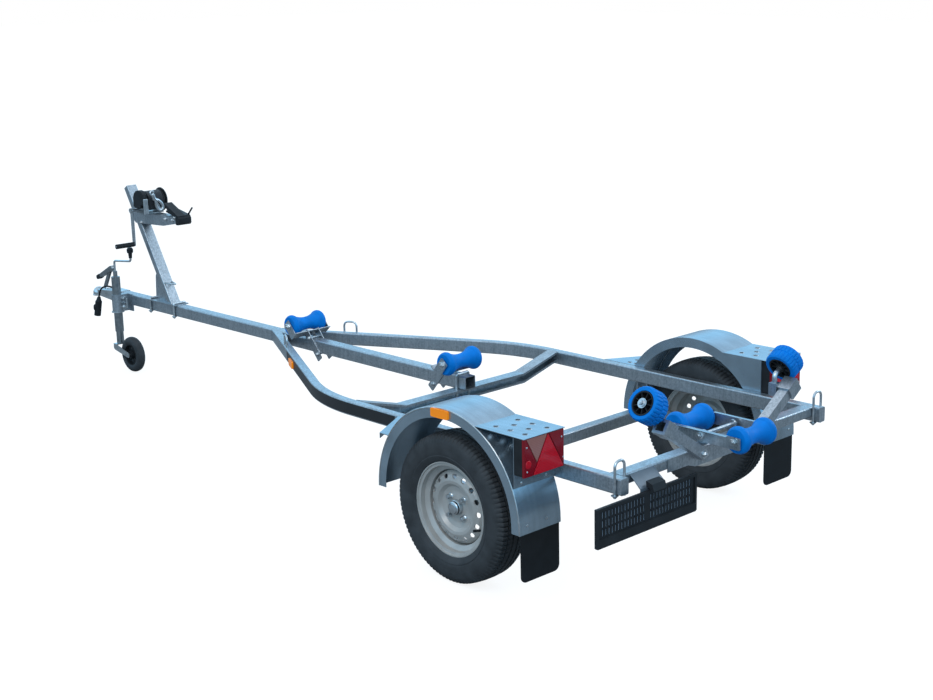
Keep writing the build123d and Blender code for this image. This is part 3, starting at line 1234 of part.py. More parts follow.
# ---------------------------------------------------------------- wobble roller arms and rollers
ARM_RISE = atan2(ARM_HEAD_Z - ARM_FOOT_Z, ARM_HEAD_Y - ARM_FOOT_Y)
ARM_REACH = hypot(ARM_HEAD_Z - ARM_FOOT_Z, ARM_HEAD_Y - ARM_FOOT_Y)
ARM_X = REAR_PLATE_X - ARM_SIZE / 2
ARM_PLANE = Plane((ARM_X, ARM_FOOT_Y, ARM_FOOT_Z), (1, 0, 0), (0, cos(ARM_RISE), sin(ARM_RISE)))
tilt = radians(WOBBLE_TILT)
STEM_BEND_Y = WOBBLE_Y - STEM_REACH * cos(tilt)
SOCKET_TOP_Z = ARM_HEAD_Z + STEM_SOCKET_WIDTH / 2
STEM_SOCKET_X = WOBBLE_X + WOBBLE_STEM_RADIUS + 6
with BuildPart() as wobble_arms:
    with BuildSketch(ARM_PLANE):
        Rectangle(ARM_SIZE, ARM_SIZE)
        Rectangle(ARM_SIZE - 2 * ARM_WALL, ARM_SIZE - 2 * ARM_WALL, mode=Mode.SUBTRACT)
    extrude(amount=ARM_REACH + SLEEVE_LENGTH / 2)
    with BuildSketch(ARM_PLANE.offset(ARM_REACH - SLEEVE_LENGTH / 2)):
        Rectangle(SLEEVE_SIZE, SLEEVE_SIZE)
        Rectangle(ARM_SIZE, ARM_SIZE, mode=Mode.SUBTRACT)
    extrude(amount=SLEEVE_LENGTH)
    with BuildSketch(Plane.XY.offset(SOCKET_TOP_Z)):
        with Locations(((ARM_X + SLEEVE_SIZE / 2 + STEM_SOCKET_X) / 2, STEM_BEND_Y)):
            Rectangle(STEM_SOCKET_X - ARM_X - SLEEVE_SIZE / 2, STEM_SOCKET_WIDTH)
        with Locations((WOBBLE_X, STEM_BEND_Y)):
            Circle(WOBBLE_STEM_RADIUS + CLEARANCE, mode=Mode.SUBTRACT)
    extrude(amount=-STEM_SOCKET_HEIGHT)
    mirror(about=Plane.XZ)
keep(wobble_arms, "wobble_arms")

STEM_TIP_REACH = WOBBLE_WIDTH / 2 + 6
with BuildPart() as wobble_stems:
    stem_tip = (WOBBLE_X, WOBBLE_Y + STEM_TIP_REACH * cos(tilt), WOBBLE_Z + STEM_TIP_REACH * sin(tilt))
    stem_bend = (WOBBLE_X, STEM_BEND_Y, WOBBLE_Z - STEM_REACH * sin(tilt))
    stem_foot = (WOBBLE_X, STEM_BEND_Y, SOCKET_TOP_Z - STEM_SOCKET_HEIGHT)
    with BuildLine() as stem_path:
        FilletPolyline(stem_tip, stem_bend, stem_foot, radius=2 * WOBBLE_STEM_RADIUS)
    with BuildSketch(Plane(stem_tip, (1, 0, 0), (0, -cos(tilt), -sin(tilt)))):
        Circle(WOBBLE_STEM_RADIUS)
    sweep(path=stem_path.wire())
    mirror(about=Plane.XZ)
keep(wobble_stems, "wobble_stems")

for side, side_name in SIDES:
    outward = (0, side * cos(tilt), sin(tilt))
    roller_centre = (WOBBLE_X, side * WOBBLE_Y, WOBBLE_Z)
    wobble_axis = Axis(roller_centre, outward)
    wobble_section = Plane(roller_centre, outward, (-1, 0, 0))
    half = WOBBLE_WIDTH / 2
    with BuildPart() as wobble_tyre:
        with BuildSketch(wobble_section):
            with BuildLine():
                Polyline(
                    (-half, WOBBLE_RADIUS - 17),
                    (half, WOBBLE_RADIUS - 17),
                    (half, WOBBLE_RADIUS - 5),
                    (half - 5, WOBBLE_RADIUS),
                    (-half + 5, WOBBLE_RADIUS),
                    (-half, WOBBLE_RADIUS - 5),
                    close=True,
                )
            make_face()
        revolve(axis=wobble_axis)
    keep(wobble_tyre, f"wobble_tyre_{side_name}")
    with BuildPart() as wobble_core:
        with BuildSketch(wobble_section):
            with BuildLine():
                bore = WOBBLE_STEM_RADIUS + ROLLER_BORE_CLEARANCE
                Polyline(
                    (-half, bore),
                    (-half, 17),
                    (-4, 17),
                    (-4, WOBBLE_RADIUS - 21),
                    (-half, WOBBLE_RADIUS - 21),
                    (-half, WOBBLE_RADIUS - 17),
                    (half, WOBBLE_RADIUS - 17),
                    (half, WOBBLE_RADIUS - 21),
                    (4, WOBBLE_RADIUS - 21),
                    (4, 17),
                    (half, 17),
                    (half, bore),
                    close=True,
                )
            make_face()
        revolve(axis=wobble_axis)
    keep(wobble_core, f"wobble_core_{side_name}")

# ---------------------------------------------------------------- tie-down loops and U-bolts
# bent rods as (x, y of the middle, half gap, foot z, bridge z, rod radius, bend radius)
BENT_RODS = (
    (-655, BEAM_CENTRE_Y, BEAM_WIDTH / 2 + LOOP_RADIUS, BEAM_BOTTOM_Z - 12, FRAME_TOP + 60, LOOP_RADIUS, 22),
    (-655, -BEAM_CENTRE_Y, BEAM_WIDTH / 2 + LOOP_RADIUS, BEAM_BOTTOM_Z - 12, FRAME_TOP + 60, LOOP_RADIUS, 22),
    (FRONT_CROSS_X, 0, U_BOLT_HALF_GAP, DRAWBAR_BOTTOM_Z - 60, FRAME_TOP + U_BOLT_RADIUS, U_BOLT_RADIUS, 8),
    *[
        (x, 0, U_BOLT_HALF_GAP, DRAWBAR_BOTTOM_Z - 4, FRAME_TOP + POST_BASE_PLATE + U_BOLT_RADIUS, U_BOLT_RADIUS, 8)
        for x in POST_BOLT_XS
    ],
)
with BuildPart() as bent_rods:
    for x, mid_y, half_gap, foot_z, bridge_z, rod_radius, bend_radius in BENT_RODS:
        corners = ((mid_y - half_gap, foot_z), (mid_y - half_gap, bridge_z), (mid_y + half_gap, bridge_z), (mid_y + half_gap, foot_z))
        with BuildLine() as rod_path:
            FilletPolyline(*[(x, y, z) for y, z in corners], radius=bend_radius)
        with BuildSketch(Plane((x, mid_y - half_gap, foot_z), (1, 0, 0), (0, 0, 1))):
            Circle(rod_radius)
        sweep(path=rod_path.wire())
keep(bent_rods, "bent_rods")

# ---------------------------------------------------------------- towing plug on its cable
CABLE_RADIUS = 5
CABLE_ROUTE = (
    (3556, 26, 496),
    (3585, 52, 536),
    (3622, 76, 552),
    (3662, 96, 540),
    (3678, 104, 508),
    (3682, 106, 484),
)
with BuildPart() as plug_cable:
    route = [Vector(*point) for point in CABLE_ROUTE]
    radii = []
    for before, here, after in zip(route, route[1:], route[2:]):
        turn = (here - before).get_angle(after - here)
        shorter = min((here - before).length, (after - here).length)
        radii.append(0.45 * shorter / tan(radians(turn) / 2))
    print("cable radii", [round(r) for r in radii])
    with BuildLine() as cable_path:
        FilletPolyline(*CABLE_ROUTE, radius=radii)
    with BuildSketch(Plane(route[0], z_dir=route[1] - route[0])):
        Circle(CABLE_RADIUS)
    sweep(path=cable_path.wire())
    with Locations((route[0].X, 0, route[0].Z)):
        Box(DRAWBAR_WIDTH, DRAWBAR_WIDTH + 2 * CLEARANCE, DRAWBAR_WIDTH, mode=Mode.SUBTRACT)
keep(plug_cable, "plug_cable")

with BuildPart() as plug:
    plug_way = route[-1] - route[-2]
    with BuildSketch(Plane(route[-1], z_dir=plug_way)):
        Circle(9)
    with BuildSketch(Plane(route[-1] + plug_way.normalized() * 26, z_dir=plug_way)):
        Circle(17)
    loft()
    with BuildSketch(Plane(route[-1] + plug_way.normalized() * 26, z_dir=plug_way)):
        Circle(19)
    extrude(amount=84)
keep(plug, "plug")

# ---------------------------------------------------------------- park the trailer and write it
nose_down = Location((0, 0, HUB_Z)) * Location((0, 0, 0), (0, PARK_ANGLE, 0)) * Location((0, 0, -HUB_Z))
for piece in PIECES.values():
    piece.part = piece.part.moved(nose_down)
boxes = [piece.part.bounding_box() for name, piece in PIECES.items() if not name.startswith("plug")]
reach_front = max(box.max.X for box in boxes)
reach_rear = min(box.min.X for box in boxes)
reach_left = max(box.max.Y for box in boxes)
reach_right = min(box.min.Y for box in boxes)
ORIGIN_X = -(reach_front + reach_rear) / 2
ORIGIN_Y = -(reach_left + reach_right) / 2
for name, piece in PIECES.items():
    piece.part = piece.part.moved(Location((ORIGIN_X, ORIGIN_Y, 0)))
    piece.part.label = name
    export_step(piece.part, f"parts/{name}.step")
print("origin shift", ORIGIN_X, ORIGIN_Y)
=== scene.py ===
"""Finishes, treads, fasteners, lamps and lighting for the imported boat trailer."""

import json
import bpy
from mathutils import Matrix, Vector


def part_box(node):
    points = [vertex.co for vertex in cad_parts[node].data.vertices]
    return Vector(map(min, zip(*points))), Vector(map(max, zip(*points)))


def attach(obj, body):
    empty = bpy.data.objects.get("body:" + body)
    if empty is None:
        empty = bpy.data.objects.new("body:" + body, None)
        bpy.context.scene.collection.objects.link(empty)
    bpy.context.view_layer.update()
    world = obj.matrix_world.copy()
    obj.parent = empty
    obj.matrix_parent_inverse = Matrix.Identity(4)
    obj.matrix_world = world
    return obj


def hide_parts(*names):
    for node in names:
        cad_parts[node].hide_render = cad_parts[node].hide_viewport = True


bl_info = {
    "name": "Boat Trailer Dressing",
    "version": (1, 0, 0),
    "blender": (4, 5, 0),
    "location": "View3D > Sidebar > Trailer",
    "description": "Dresses a packed boat trailer with galvanised steel, rubber, lamps and small fittings",
    "category": "Object",
}

from math import atan2, cos, hypot, pi, radians, sin

import bmesh
import bpy
from bpy.props import FloatProperty, FloatVectorProperty, IntProperty, PointerProperty
from mathutils import Matrix, Vector

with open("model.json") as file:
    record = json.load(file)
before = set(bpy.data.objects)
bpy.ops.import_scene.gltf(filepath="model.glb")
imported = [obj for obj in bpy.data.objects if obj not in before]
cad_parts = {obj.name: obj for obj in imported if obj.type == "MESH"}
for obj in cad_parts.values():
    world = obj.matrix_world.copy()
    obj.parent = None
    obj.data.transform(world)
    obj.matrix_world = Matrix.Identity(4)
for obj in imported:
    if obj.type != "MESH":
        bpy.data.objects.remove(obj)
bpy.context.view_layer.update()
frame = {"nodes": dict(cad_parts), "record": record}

# ---- the level drawing frame
# Pieces are drawn level, in metres: X forward from the axle, Y to the left, Z up from the ground.
# PARK then leans them about the axle line, as the trailer stands on its jockey wheel.
PARK_ANGLE = radians(1.63)
WHEEL_LOW, WHEEL_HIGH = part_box("tyre_left")
AXLE_X = (WHEEL_LOW.x + WHEEL_HIGH.x) / 2
HUB_Z = (WHEEL_LOW.z + WHEEL_HIGH.z) / 2
HALF_TRACK = (WHEEL_LOW.y + WHEEL_HIGH.y) / 2
PARK = (
    Matrix.Translation((AXLE_X, 0, HUB_Z))
    @ Matrix.Rotation(PARK_ANGLE, 4, "Y")
    @ Matrix.Translation((0, 0, -HUB_Z))
)
SIDES = ((1, "left"), (-1, "right"))

TYRE_RADIUS = (WHEEL_HIGH.z - WHEEL_LOW.z) / 2
TYRE_HALF = (WHEEL_HIGH.y - WHEEL_LOW.y) / 2
FRAME_TOP = 0.515
BEAM_OUTER_Y = 0.614

# ---- camera and light
CAMERA_AT = (AXLE_X - 3.8155, 4.3073, 2.2837)
CAMERA_RIGHT = (-0.68748, -0.72620, -0.00381)
CAMERA_UP = (0.18489, -0.18008, 0.96612)
CAMERA_BACK = (-0.70228, 0.66348, 0.25806)
CAMERA_LENS = 57.736
SKY_STRENGTH = 1.7
# colours of the sky by the height that a ray looks up to
SKY_STOPS = (
    (0.0, (0.20, 0.24, 0.28)), (0.1, (0.34, 0.55, 0.74)), (0.26, (0.30, 0.68, 1.0)), (0.5, (0.40, 0.60, 0.78)),
    (1.0, (0.38, 0.42, 0.46)),
)
# lamps as (name, place, aim, size, watts, colour)
LAMPS = (
    ("key", (-3.4, 4.6, 5.4), (-0.6, 0, 0.4), 3.2, 120, (1.0, 0.97, 0.93)),
    ("top", (0.2, -0.6, 5.2), (0, 0, 0.4), 4.5, 25, (0.98, 0.98, 1.0)),
    ("fill", (-3.0, -4.6, 3.4), (0.4, 0, 0.5), 2.6, 60, (0.96, 0.98, 1.0)),
)
FLOOR_TONE = 0.2
FLOOR_GLOW = 0.88
FLOOR_MIRRORED = 0.06
FLOOR_REACH = 40
PRISM_WIDTH = 0.006


# ---- shading helpers
def new_material(name):
    """A node material, its tree and its principled shader."""
    material = bpy.data.materials.new(name)
    material.use_nodes = True
    tree = material.node_tree
    shader = tree.nodes["Principled BSDF"]
    return material, tree, shader


def node(tree, kind, inputs=None, **settings):
    """One shader node with its settings and its sockets filled or linked."""
    made = tree.nodes.new(kind)
    for key, value in settings.items():
        setattr(made, key, value)
    for key, value in (inputs or {}).items():
        if isinstance(value, bpy.types.NodeSocket):
            tree.links.new(value, made.inputs[key])
        else:
            made.inputs[key].default_value = value
    return made


def combined(tree, operation, first, second):
    """The result of a sum on two values."""
    return node(tree, "ShaderNodeMath", {0: first, 1: second}, operation=operation).outputs["Value"]


def textured_material(name):
    """A node material, its tree, its principled shader and the object's own coordinates."""
    material, tree, shader = new_material(name)
    return material, tree, shader, node(tree, "ShaderNodeTexCoord").outputs["Object"]


def noise(tree, at, scale, detail):
    """The height of a noise texture."""
    return node(tree, "ShaderNodeTexNoise", {"Vector": at, "Scale": scale, "Detail": detail}).outputs["Fac"]


def ramp(tree, factor, stops):
    """A colour ramp from (position, colour) stops."""
    made = node(tree, "ShaderNodeValToRGB", {"Fac": factor})
    elements = made.color_ramp.elements
    while len(elements) < len(stops):
        elements.new(0.5)
    for element, (position, colour) in zip(elements, stops):
        element.position = position
        element.color = (*colour, 1) if len(colour) == 3 else colour
    return made.outputs["Color"]


def bump(tree, shader, height, strength, distance):
    """Drives the shader's normal by a height."""
    made = node(tree, "ShaderNodeBump", {"Height": height, "Strength": strength, "Distance": distance})
    tree.links.new(made.outputs["Normal"], shader.inputs["Normal"])


def shade(shader, **values):
    """Sets the shader's own sockets by name, with spaces written as underscores."""
    for key, value in values.items():
        shader.inputs[key.replace("_", " ")].default_value = value


def tint(tree, shader, factor, *stops):
    """Drives the shader's base colour by a ramp of (position, colour) stops."""
    tree.links.new(ramp(tree, factor, stops), shader.inputs["Base Color"])


def roughen(tree, shader, factor, low, high):
    """Drives the shader's roughness between two values by a texture."""
    limits = {"From Min": 0.3, "From Max": 0.7, "To Min": low, "To Max": high}
    made = node(tree, "ShaderNodeMapRange", {"Value": factor, **limits})
    tree.links.new(made.outputs["Result"], shader.inputs["Roughness"])


def scaled(colour, factor):
    """A colour made lighter or darker."""
    return tuple(min(1, c * factor) for c in colour[:3])


def galvanised(name, colour, spangle):
    """Hot-dip zinc: crystal spangle, cloudy dulling, dip streaks and fine grain."""
    material, tree, shader, at = textured_material(name)
    cells = node(tree, "ShaderNodeTexVoronoi", {"Vector": at, "Scale": 1 / spangle, "Randomness": 1.0})
    crystal = node(tree, "ShaderNodeSeparateColor", {"Color": cells.outputs["Color"]}).outputs["Red"]
    clouds = node(tree, "ShaderNodeTexNoise", {"Vector": at, "Scale": 14.0, "Detail": 7.0, "Roughness": 0.68})
    upright = node(tree, "ShaderNodeMapping", {"Vector": at, "Scale": (150, 150, 9)}).outputs["Vector"]
    streaks = noise(tree, upright, 1.0, 4.0)
    dip = node(tree, "ShaderNodeMix", {"Factor": 0.55, "A": clouds.outputs["Fac"], "B": streaks})
    tone = node(tree, "ShaderNodeMix", {"Factor": 0.2, "A": dip.outputs["Result"], "B": crystal}).outputs["Result"]
    tint(tree, shader, tone, (0.3, scaled(colour, 0.7)), (0.5, scaled(colour, 1.0)), (0.68, scaled(colour, 1.25)))
    roughen(tree, shader, tone, 0.44, 0.28)
    shade(shader, Metallic=0.9)
    bump(tree, shader, noise(tree, at, 420.0, 3.0), 0.2, 0.0004)
    return material


def plated(name, colour, roughness=0.28):
    """Bright zinc plating on small steel fittings."""
    material, tree, shader, at = textured_material(name)
    clouds = noise(tree, at, 46.0, 5.0)
    tint(tree, shader, clouds, (0.3, scaled(colour, 0.78)), (0.7, scaled(colour, 1.18)))
    shade(shader, Metallic=0.95, Roughness=roughness)
    bump(tree, shader, clouds, 0.1, 0.0006)
    return material


def rolled_sheet(name, colour):
    """Smooth zinc-coated sheet with broad soft clouds and faint rolling lines."""
    material, tree, shader, at = textured_material(name)
    clouds = noise(tree, at, 9.0, 3.0)
    lengthwise = node(tree, "ShaderNodeMapping", {"Vector": at, "Scale": (1.5, 70, 1.5)}).outputs["Vector"]
    lines = noise(tree, lengthwise, 1.0, 2.0)
    tone = node(tree, "ShaderNodeMix", {"Factor": 0.35, "A": clouds, "B": lines}).outputs["Result"]
    tint(tree, shader, tone, (0.35, scaled(colour, 0.84)), (0.65, scaled(colour, 1.14)))
    shade(shader, Metallic=0.82, Roughness=0.27)
    bump(tree, shader, clouds, 0.05, 0.0006)
    return material


def painted(name, colour, roughness, metallic=0.0, coat=0.0):
    """Sprayed paint with a faint orange peel and dust in its tone."""
    material, tree, shader, at = textured_material(name)
    tint(tree, shader, noise(tree, at, 14.0, 6.0), (0.3, scaled(colour, 0.86)), (0.7, scaled(colour, 1.12)))
    shade(shader, Metallic=metallic, Roughness=roughness, Coat_Weight=coat, Specular_IOR_Level=0.35)
    bump(tree, shader, noise(tree, at, 520.0, 2.0), 0.08, 0.0004)
    return material


def moulded(name, colour, roughness=0.5, grain_size=0.0012, variation=0.1, specular=0.16):
    """Moulded rubber or plastic with a fine skin."""
    material, tree, shader, at = textured_material(name)
    wear = noise(tree, at, 22.0, 5.0)
    tint(tree, shader, wear, (0.3, scaled(colour, 1 - variation)), (0.7, scaled(colour, 1 + variation)))
    roughen(tree, shader, wear, roughness - 0.07, roughness + 0.07)
    shade(shader, Specular_IOR_Level=specular)
    bump(tree, shader, noise(tree, at, 1 / grain_size, 4.0), 0.25, 0.0005)
    return material


def lens(name, colour, glow=0.0):
    """Glossy lamp plastic with moulded prisms behind its face, and a painted glow in its own colour set by the glow
    strength.
    """
    material, tree, shader, at = textured_material(name)
    cells = {"Vector": at, "Scale": 1 / PRISM_WIDTH, "Randomness": 0.0}
    prisms = node(tree, "ShaderNodeTexVoronoi", cells, feature="F1", distance="CHEBYCHEV").outputs["Distance"]
    tint(tree, shader, prisms, (0.0, scaled(colour, 1.15)), (0.55, scaled(colour, 0.62)))
    shade(shader, Roughness=0.16, Coat_Weight=0.25, Coat_Roughness=0.05, Specular_IOR_Level=0.3)
    # glow is a painted glow: the lens gives off light though no lamp is lit in it
    shade(shader, Emission_Color=(*colour, 1), Emission_Strength=glow)
    bump(tree, shader, prisms, 0.18, 0.001)
    return material


def webbing(name, colour):
    """Woven polyester strap."""
    material, tree, shader, at = textured_material(name)
    warp = node(tree, "ShaderNodeTexWave", {"Vector": at, "Scale": 260.0, "Distortion": 0.6}, bands_direction="Y")
    weft = node(tree, "ShaderNodeTexWave", {"Vector": at, "Scale": 180.0, "Distortion": 0.6}, bands_direction="Z")
    weave = combined(tree, "MULTIPLY", warp.outputs["Fac"], weft.outputs["Fac"])
    tint(tree, shader, weave, (0.1, scaled(colour, 0.6)), (0.8, scaled(colour, 1.5)))
    shade(shader, Roughness=0.8, Sheen_Weight=0.2)
    bump(tree, shader, weave, 0.5, 0.0008)
    return material


# ---- mesh helpers, level frame, metres
def basis(axis):
    """Two directions square to an axis and to each other, the first as level as can be."""
    along = Vector(axis).normalized()
    helper = Vector((0, 0, 1)) if abs(along.z) < 0.9 else Vector((1, 0, 0))
    first = helper.cross(along).normalized()
    return along, first, along.cross(first)


def turned(bm, profile, centre, axis, steps, closed=False, offset=None):
    """A profile of (along, radius) points turned about an axis; offset(step, index) adds to the radius."""
    along, first, second = basis(axis)
    centre = Vector(centre)
    rings = []
    for step in range(steps):
        angle = 2 * pi * step / steps
        out = first * cos(angle) + second * sin(angle)
        rings.append(
            [
                bm.verts.new(centre + along * t + out * (r + (offset(step, index) if offset else 0)))
                for index, (t, r) in enumerate(profile)
            ]
        )
    count = len(profile) if closed else len(profile) - 1
    for step, ring in enumerate(rings):
        following = rings[(step + 1) % steps]
        for index in range(count):
            after = (index + 1) % len(profile)
            bm.faces.new((ring[index], following[index], following[after], ring[after]))
    if not closed:
        bm.faces.new([ring[0] for ring in rings])
        bm.faces.new([ring[-1] for ring in reversed(rings)])


def sleeve(bm, reach, radii, centre, axis, steps):
    """A ring of rectangular section between two places along an axis and two radii."""
    (low, high), (inner, outer) = reach, radii
    turned(bm, [(low, inner), (low, outer), (high, outer), (high, inner)], centre, axis, steps, closed=True)


def rod(bm, start, end, radius, steps=20, chamfer=0.0):
    """A round bar between two points, its ends chamfered."""
    start, end = Vector(start), Vector(end)
    length = (end - start).length
    profile = [(0, radius), (length, radius)]
    if chamfer:
        profile = [(0, radius - chamfer), (chamfer, radius), (length - chamfer, radius), (length, radius - chamfer)]
    turned(bm, profile, start, end - start, steps)


def bolt_head(bm, at, axis, across):
    """A hexagon nut with its washer and the bolt's end."""
    height = across * 0.5
    at, along = Vector(at), Vector(axis).normalized()
    turned(bm, [(0, across * 0.86), (0.0018, across * 0.86)], at, along, 24)
    corner = across / 2 / cos(pi / 6)
    profile = [(0.0018, corner), (height * 0.8, corner), (height, corner * 0.86)]
    turned(bm, profile, at, along, 6)
    rod(bm, at + along * height, at + along * (height + across * 0.22), across * 0.26, 12)


def rivet(bm, at, axis, radius=0.0052):
    """A low domed rivet head."""
    turned(bm, [(0, radius), (0.0012, radius * 0.92), (0.0024, radius * 0.45)], at, axis, 16)


def block(bm, low, high):
    """A box between its lowest and highest corners."""
    (x0, y0, z0), (x1, y1, z1) = low, high
    slab(bm, ((x0, y0, z0), (x0, y1, z0), (x0, y1, z1), (x0, y0, z1)), (x1 - x0, 0, 0))


def eased(points, reach, count=6, closed=False):
    """A line's points with each corner rounded, from reach before it to reach after it."""
    points = [Vector(p) for p in points]
    line = [] if closed else [points[0]]
    corners = range(len(points)) if closed else range(1, len(points) - 1)
    for index in corners:
        before, here, after = points[index - 1], points[index], points[(index + 1) % len(points)]
        start = here + (before - here).normalized() * min(reach, (before - here).length / 2)
        end = here + (after - here).normalized() * min(reach, (after - here).length / 2)
        for k in range(count + 1):
            t = k / count
            line.append(start * (1 - t) ** 2 + here * 2 * t * (1 - t) + end * t**2)
    return line if closed else line + [points[-1]]


def lofted(bm, rows, closed=False):
    """A skin over rows of points, capped at its ends unless it closes on itself."""
    for row, following in zip(rows, rows[1:] + rows[:1] if closed else rows[1:]):
        for k in range(len(row)):
            after = (k + 1) % len(row)
            bm.faces.new((row[k], following[k], following[after], row[after]))
    if not closed:
        bm.faces.new(rows[0])
        bm.faces.new(list(reversed(rows[-1])))


def bent_rod(bm, line, radius, steps=12, closed=False):
    """A round bar along a line of points."""
    line = [Vector(p) for p in line]
    line = [p for index, p in enumerate(line) if index == 0 or (p - line[index - 1]).length > 1e-6]
    count = len(line)
    side = None
    rings = []
    for index, point in enumerate(line):
        before = line[index - 1] if closed or index else point
        after = line[(index + 1) % count] if closed or index < count - 1 else point
        along = (after - before).normalized()
        side = basis(along)[1] if side is None else (side - along * side.dot(along)).normalized()
        over = along.cross(side)
        turns = [2 * pi * k / steps for k in range(steps)]
        rings.append([bm.verts.new(point + (side * cos(a) + over * sin(a)) * radius) for a in turns])
    lofted(bm, rings, closed)


def slab(bm, corners, depth):
    """A plate from its outline, thickened along the vector depth."""
    low = [bm.verts.new(Vector(c)) for c in corners]
    high = [bm.verts.new(Vector(c) + Vector(depth)) for c in corners]
    bm.faces.new(list(reversed(low)))
    bm.faces.new(high)
    for index, vert in enumerate(low):
        after = (index + 1) % len(low)
        bm.faces.new((vert, low[after], high[after], high[index]))


def arc(start, middle, end, count):
    """Points along the circle through three plane points, both ends included."""
    (ax, ay), (bx, by), (cx, cy) = start, middle, end
    d = 2 * (ax * (by - cy) + bx * (cy - ay) + cx * (ay - by))
    ux = ((ax**2 + ay**2) * (by - cy) + (bx**2 + by**2) * (cy - ay) + (cx**2 + cy**2) * (ay - by)) / d
    uy = ((ax**2 + ay**2) * (cx - bx) + (bx**2 + by**2) * (ax - cx) + (cx**2 + cy**2) * (bx - ax)) / d
    radius = hypot(ax - ux, ay - uy)
    a0, a1, a2 = (atan2(y - uy, x - ux) for x, y in (start, middle, end))
    full = 2 * pi
    sweep = (a2 - a0) % full
    if (a1 - a0) % full > sweep:
        sweep -= full
    turns = (a0 + sweep * k / count for k in range(count + 1))
    return [(ux + radius * cos(turn), uy + radius * sin(turn)) for turn in turns]


def placed(name, data):
    """A new object in the scene."""
    made = bpy.data.objects.new(name, data)
    bpy.context.scene.collection.objects.link(made)
    return made


def add_piece(name, bm, body, finish, bevel=0.0, sharp=35, stands_for=()):
    """Turns a bmesh into a piece that rides on a body, with the material made for its finish."""
    bmesh.ops.recalc_face_normals(bm, faces=bm.faces)
    limit = radians(sharp)
    for face in bm.faces:
        face.smooth = True
    for edge in bm.edges:
        if len(edge.link_faces) == 2 and edge.calc_face_angle(0) > limit:
            edge.smooth = False
    mesh = bpy.data.meshes.new(name)
    bm.to_mesh(mesh)
    bm.free()
    mesh.transform(PARK)
    piece = placed(name, mesh)
    piece.data.materials.append(finish_of(finish))
    if bevel:
        made = piece.modifiers.new("Edges", "BEVEL")
        made.width = bevel
        made.segments = 2
        made.limit_method = "ANGLE"
        made.harden_normals = True
    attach(piece, body)
    if stands_for:
        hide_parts(*stands_for)


# ---- settings
COLOUR = {"subtype": "COLOR", "size": 3}
LENGTH = {"subtype": "DISTANCE", "unit": "LENGTH"}


class TrailerFinish(bpy.types.PropertyGroup):
    """Colours of the trailer's finishes."""

    zinc: FloatVectorProperty(
        name="Galvanised steel", description="Colour of the hot-dip zinc", default=(0.40, 0.43, 0.46), **COLOUR,
    )
    plating: FloatVectorProperty(
        name="Zinc plating", description="Colour of the plated fittings", default=(0.55, 0.58, 0.60), **COLOUR,
    )
    rim: FloatVectorProperty(
        name="Wheel rim", description="Colour of the rim's paint", default=(0.44, 0.405, 0.375), **COLOUR,
    )
    roller: FloatVectorProperty(
        name="Roller", description="Colour of the rollers", default=(0.0, 0.17, 0.56), **COLOUR,
    )
    spangle: FloatProperty(name="Spangle", description="Width of one zinc crystal", default=0.007, **LENGTH)


class TrailerShape(bpy.types.PropertyGroup):
    """Sizes of the parts that are modelled here."""

    tread_pitches: IntProperty(
        name="Tread pitches", description="Shoulder blocks round a road tyre", default=96, min=24, max=120,
    )
    tread_depth: FloatProperty(
        name="Tread depth", description="Depth of the tyre's grooves", default=0.007, **LENGTH,
    )
    roller_ribs: IntProperty(name="Roller ribs", description="Ribs round a side roller", default=26, min=8, max=48)


# ---- finishes
# nodes whose metal is smoother or darker than their slot's own finish
FINISH_OF_NODE = {
    "mudguards": "zinc_sheet",
    "lamp_boxes": "zinc_sheet",
    "front_steps": "zinc_sheet",
    "coupling_handle": "dull_steel",
    "jockey_tube": "dull_steel",
    "jockey_leg": "dull_steel",
    "winch_drum": "black_paint",
    "winch_frame": "dull_steel",
    # the plate bracket's darker zinc is partly its dull steel and partly painted shade
    "plate_bracket": "dark_zinc",
}


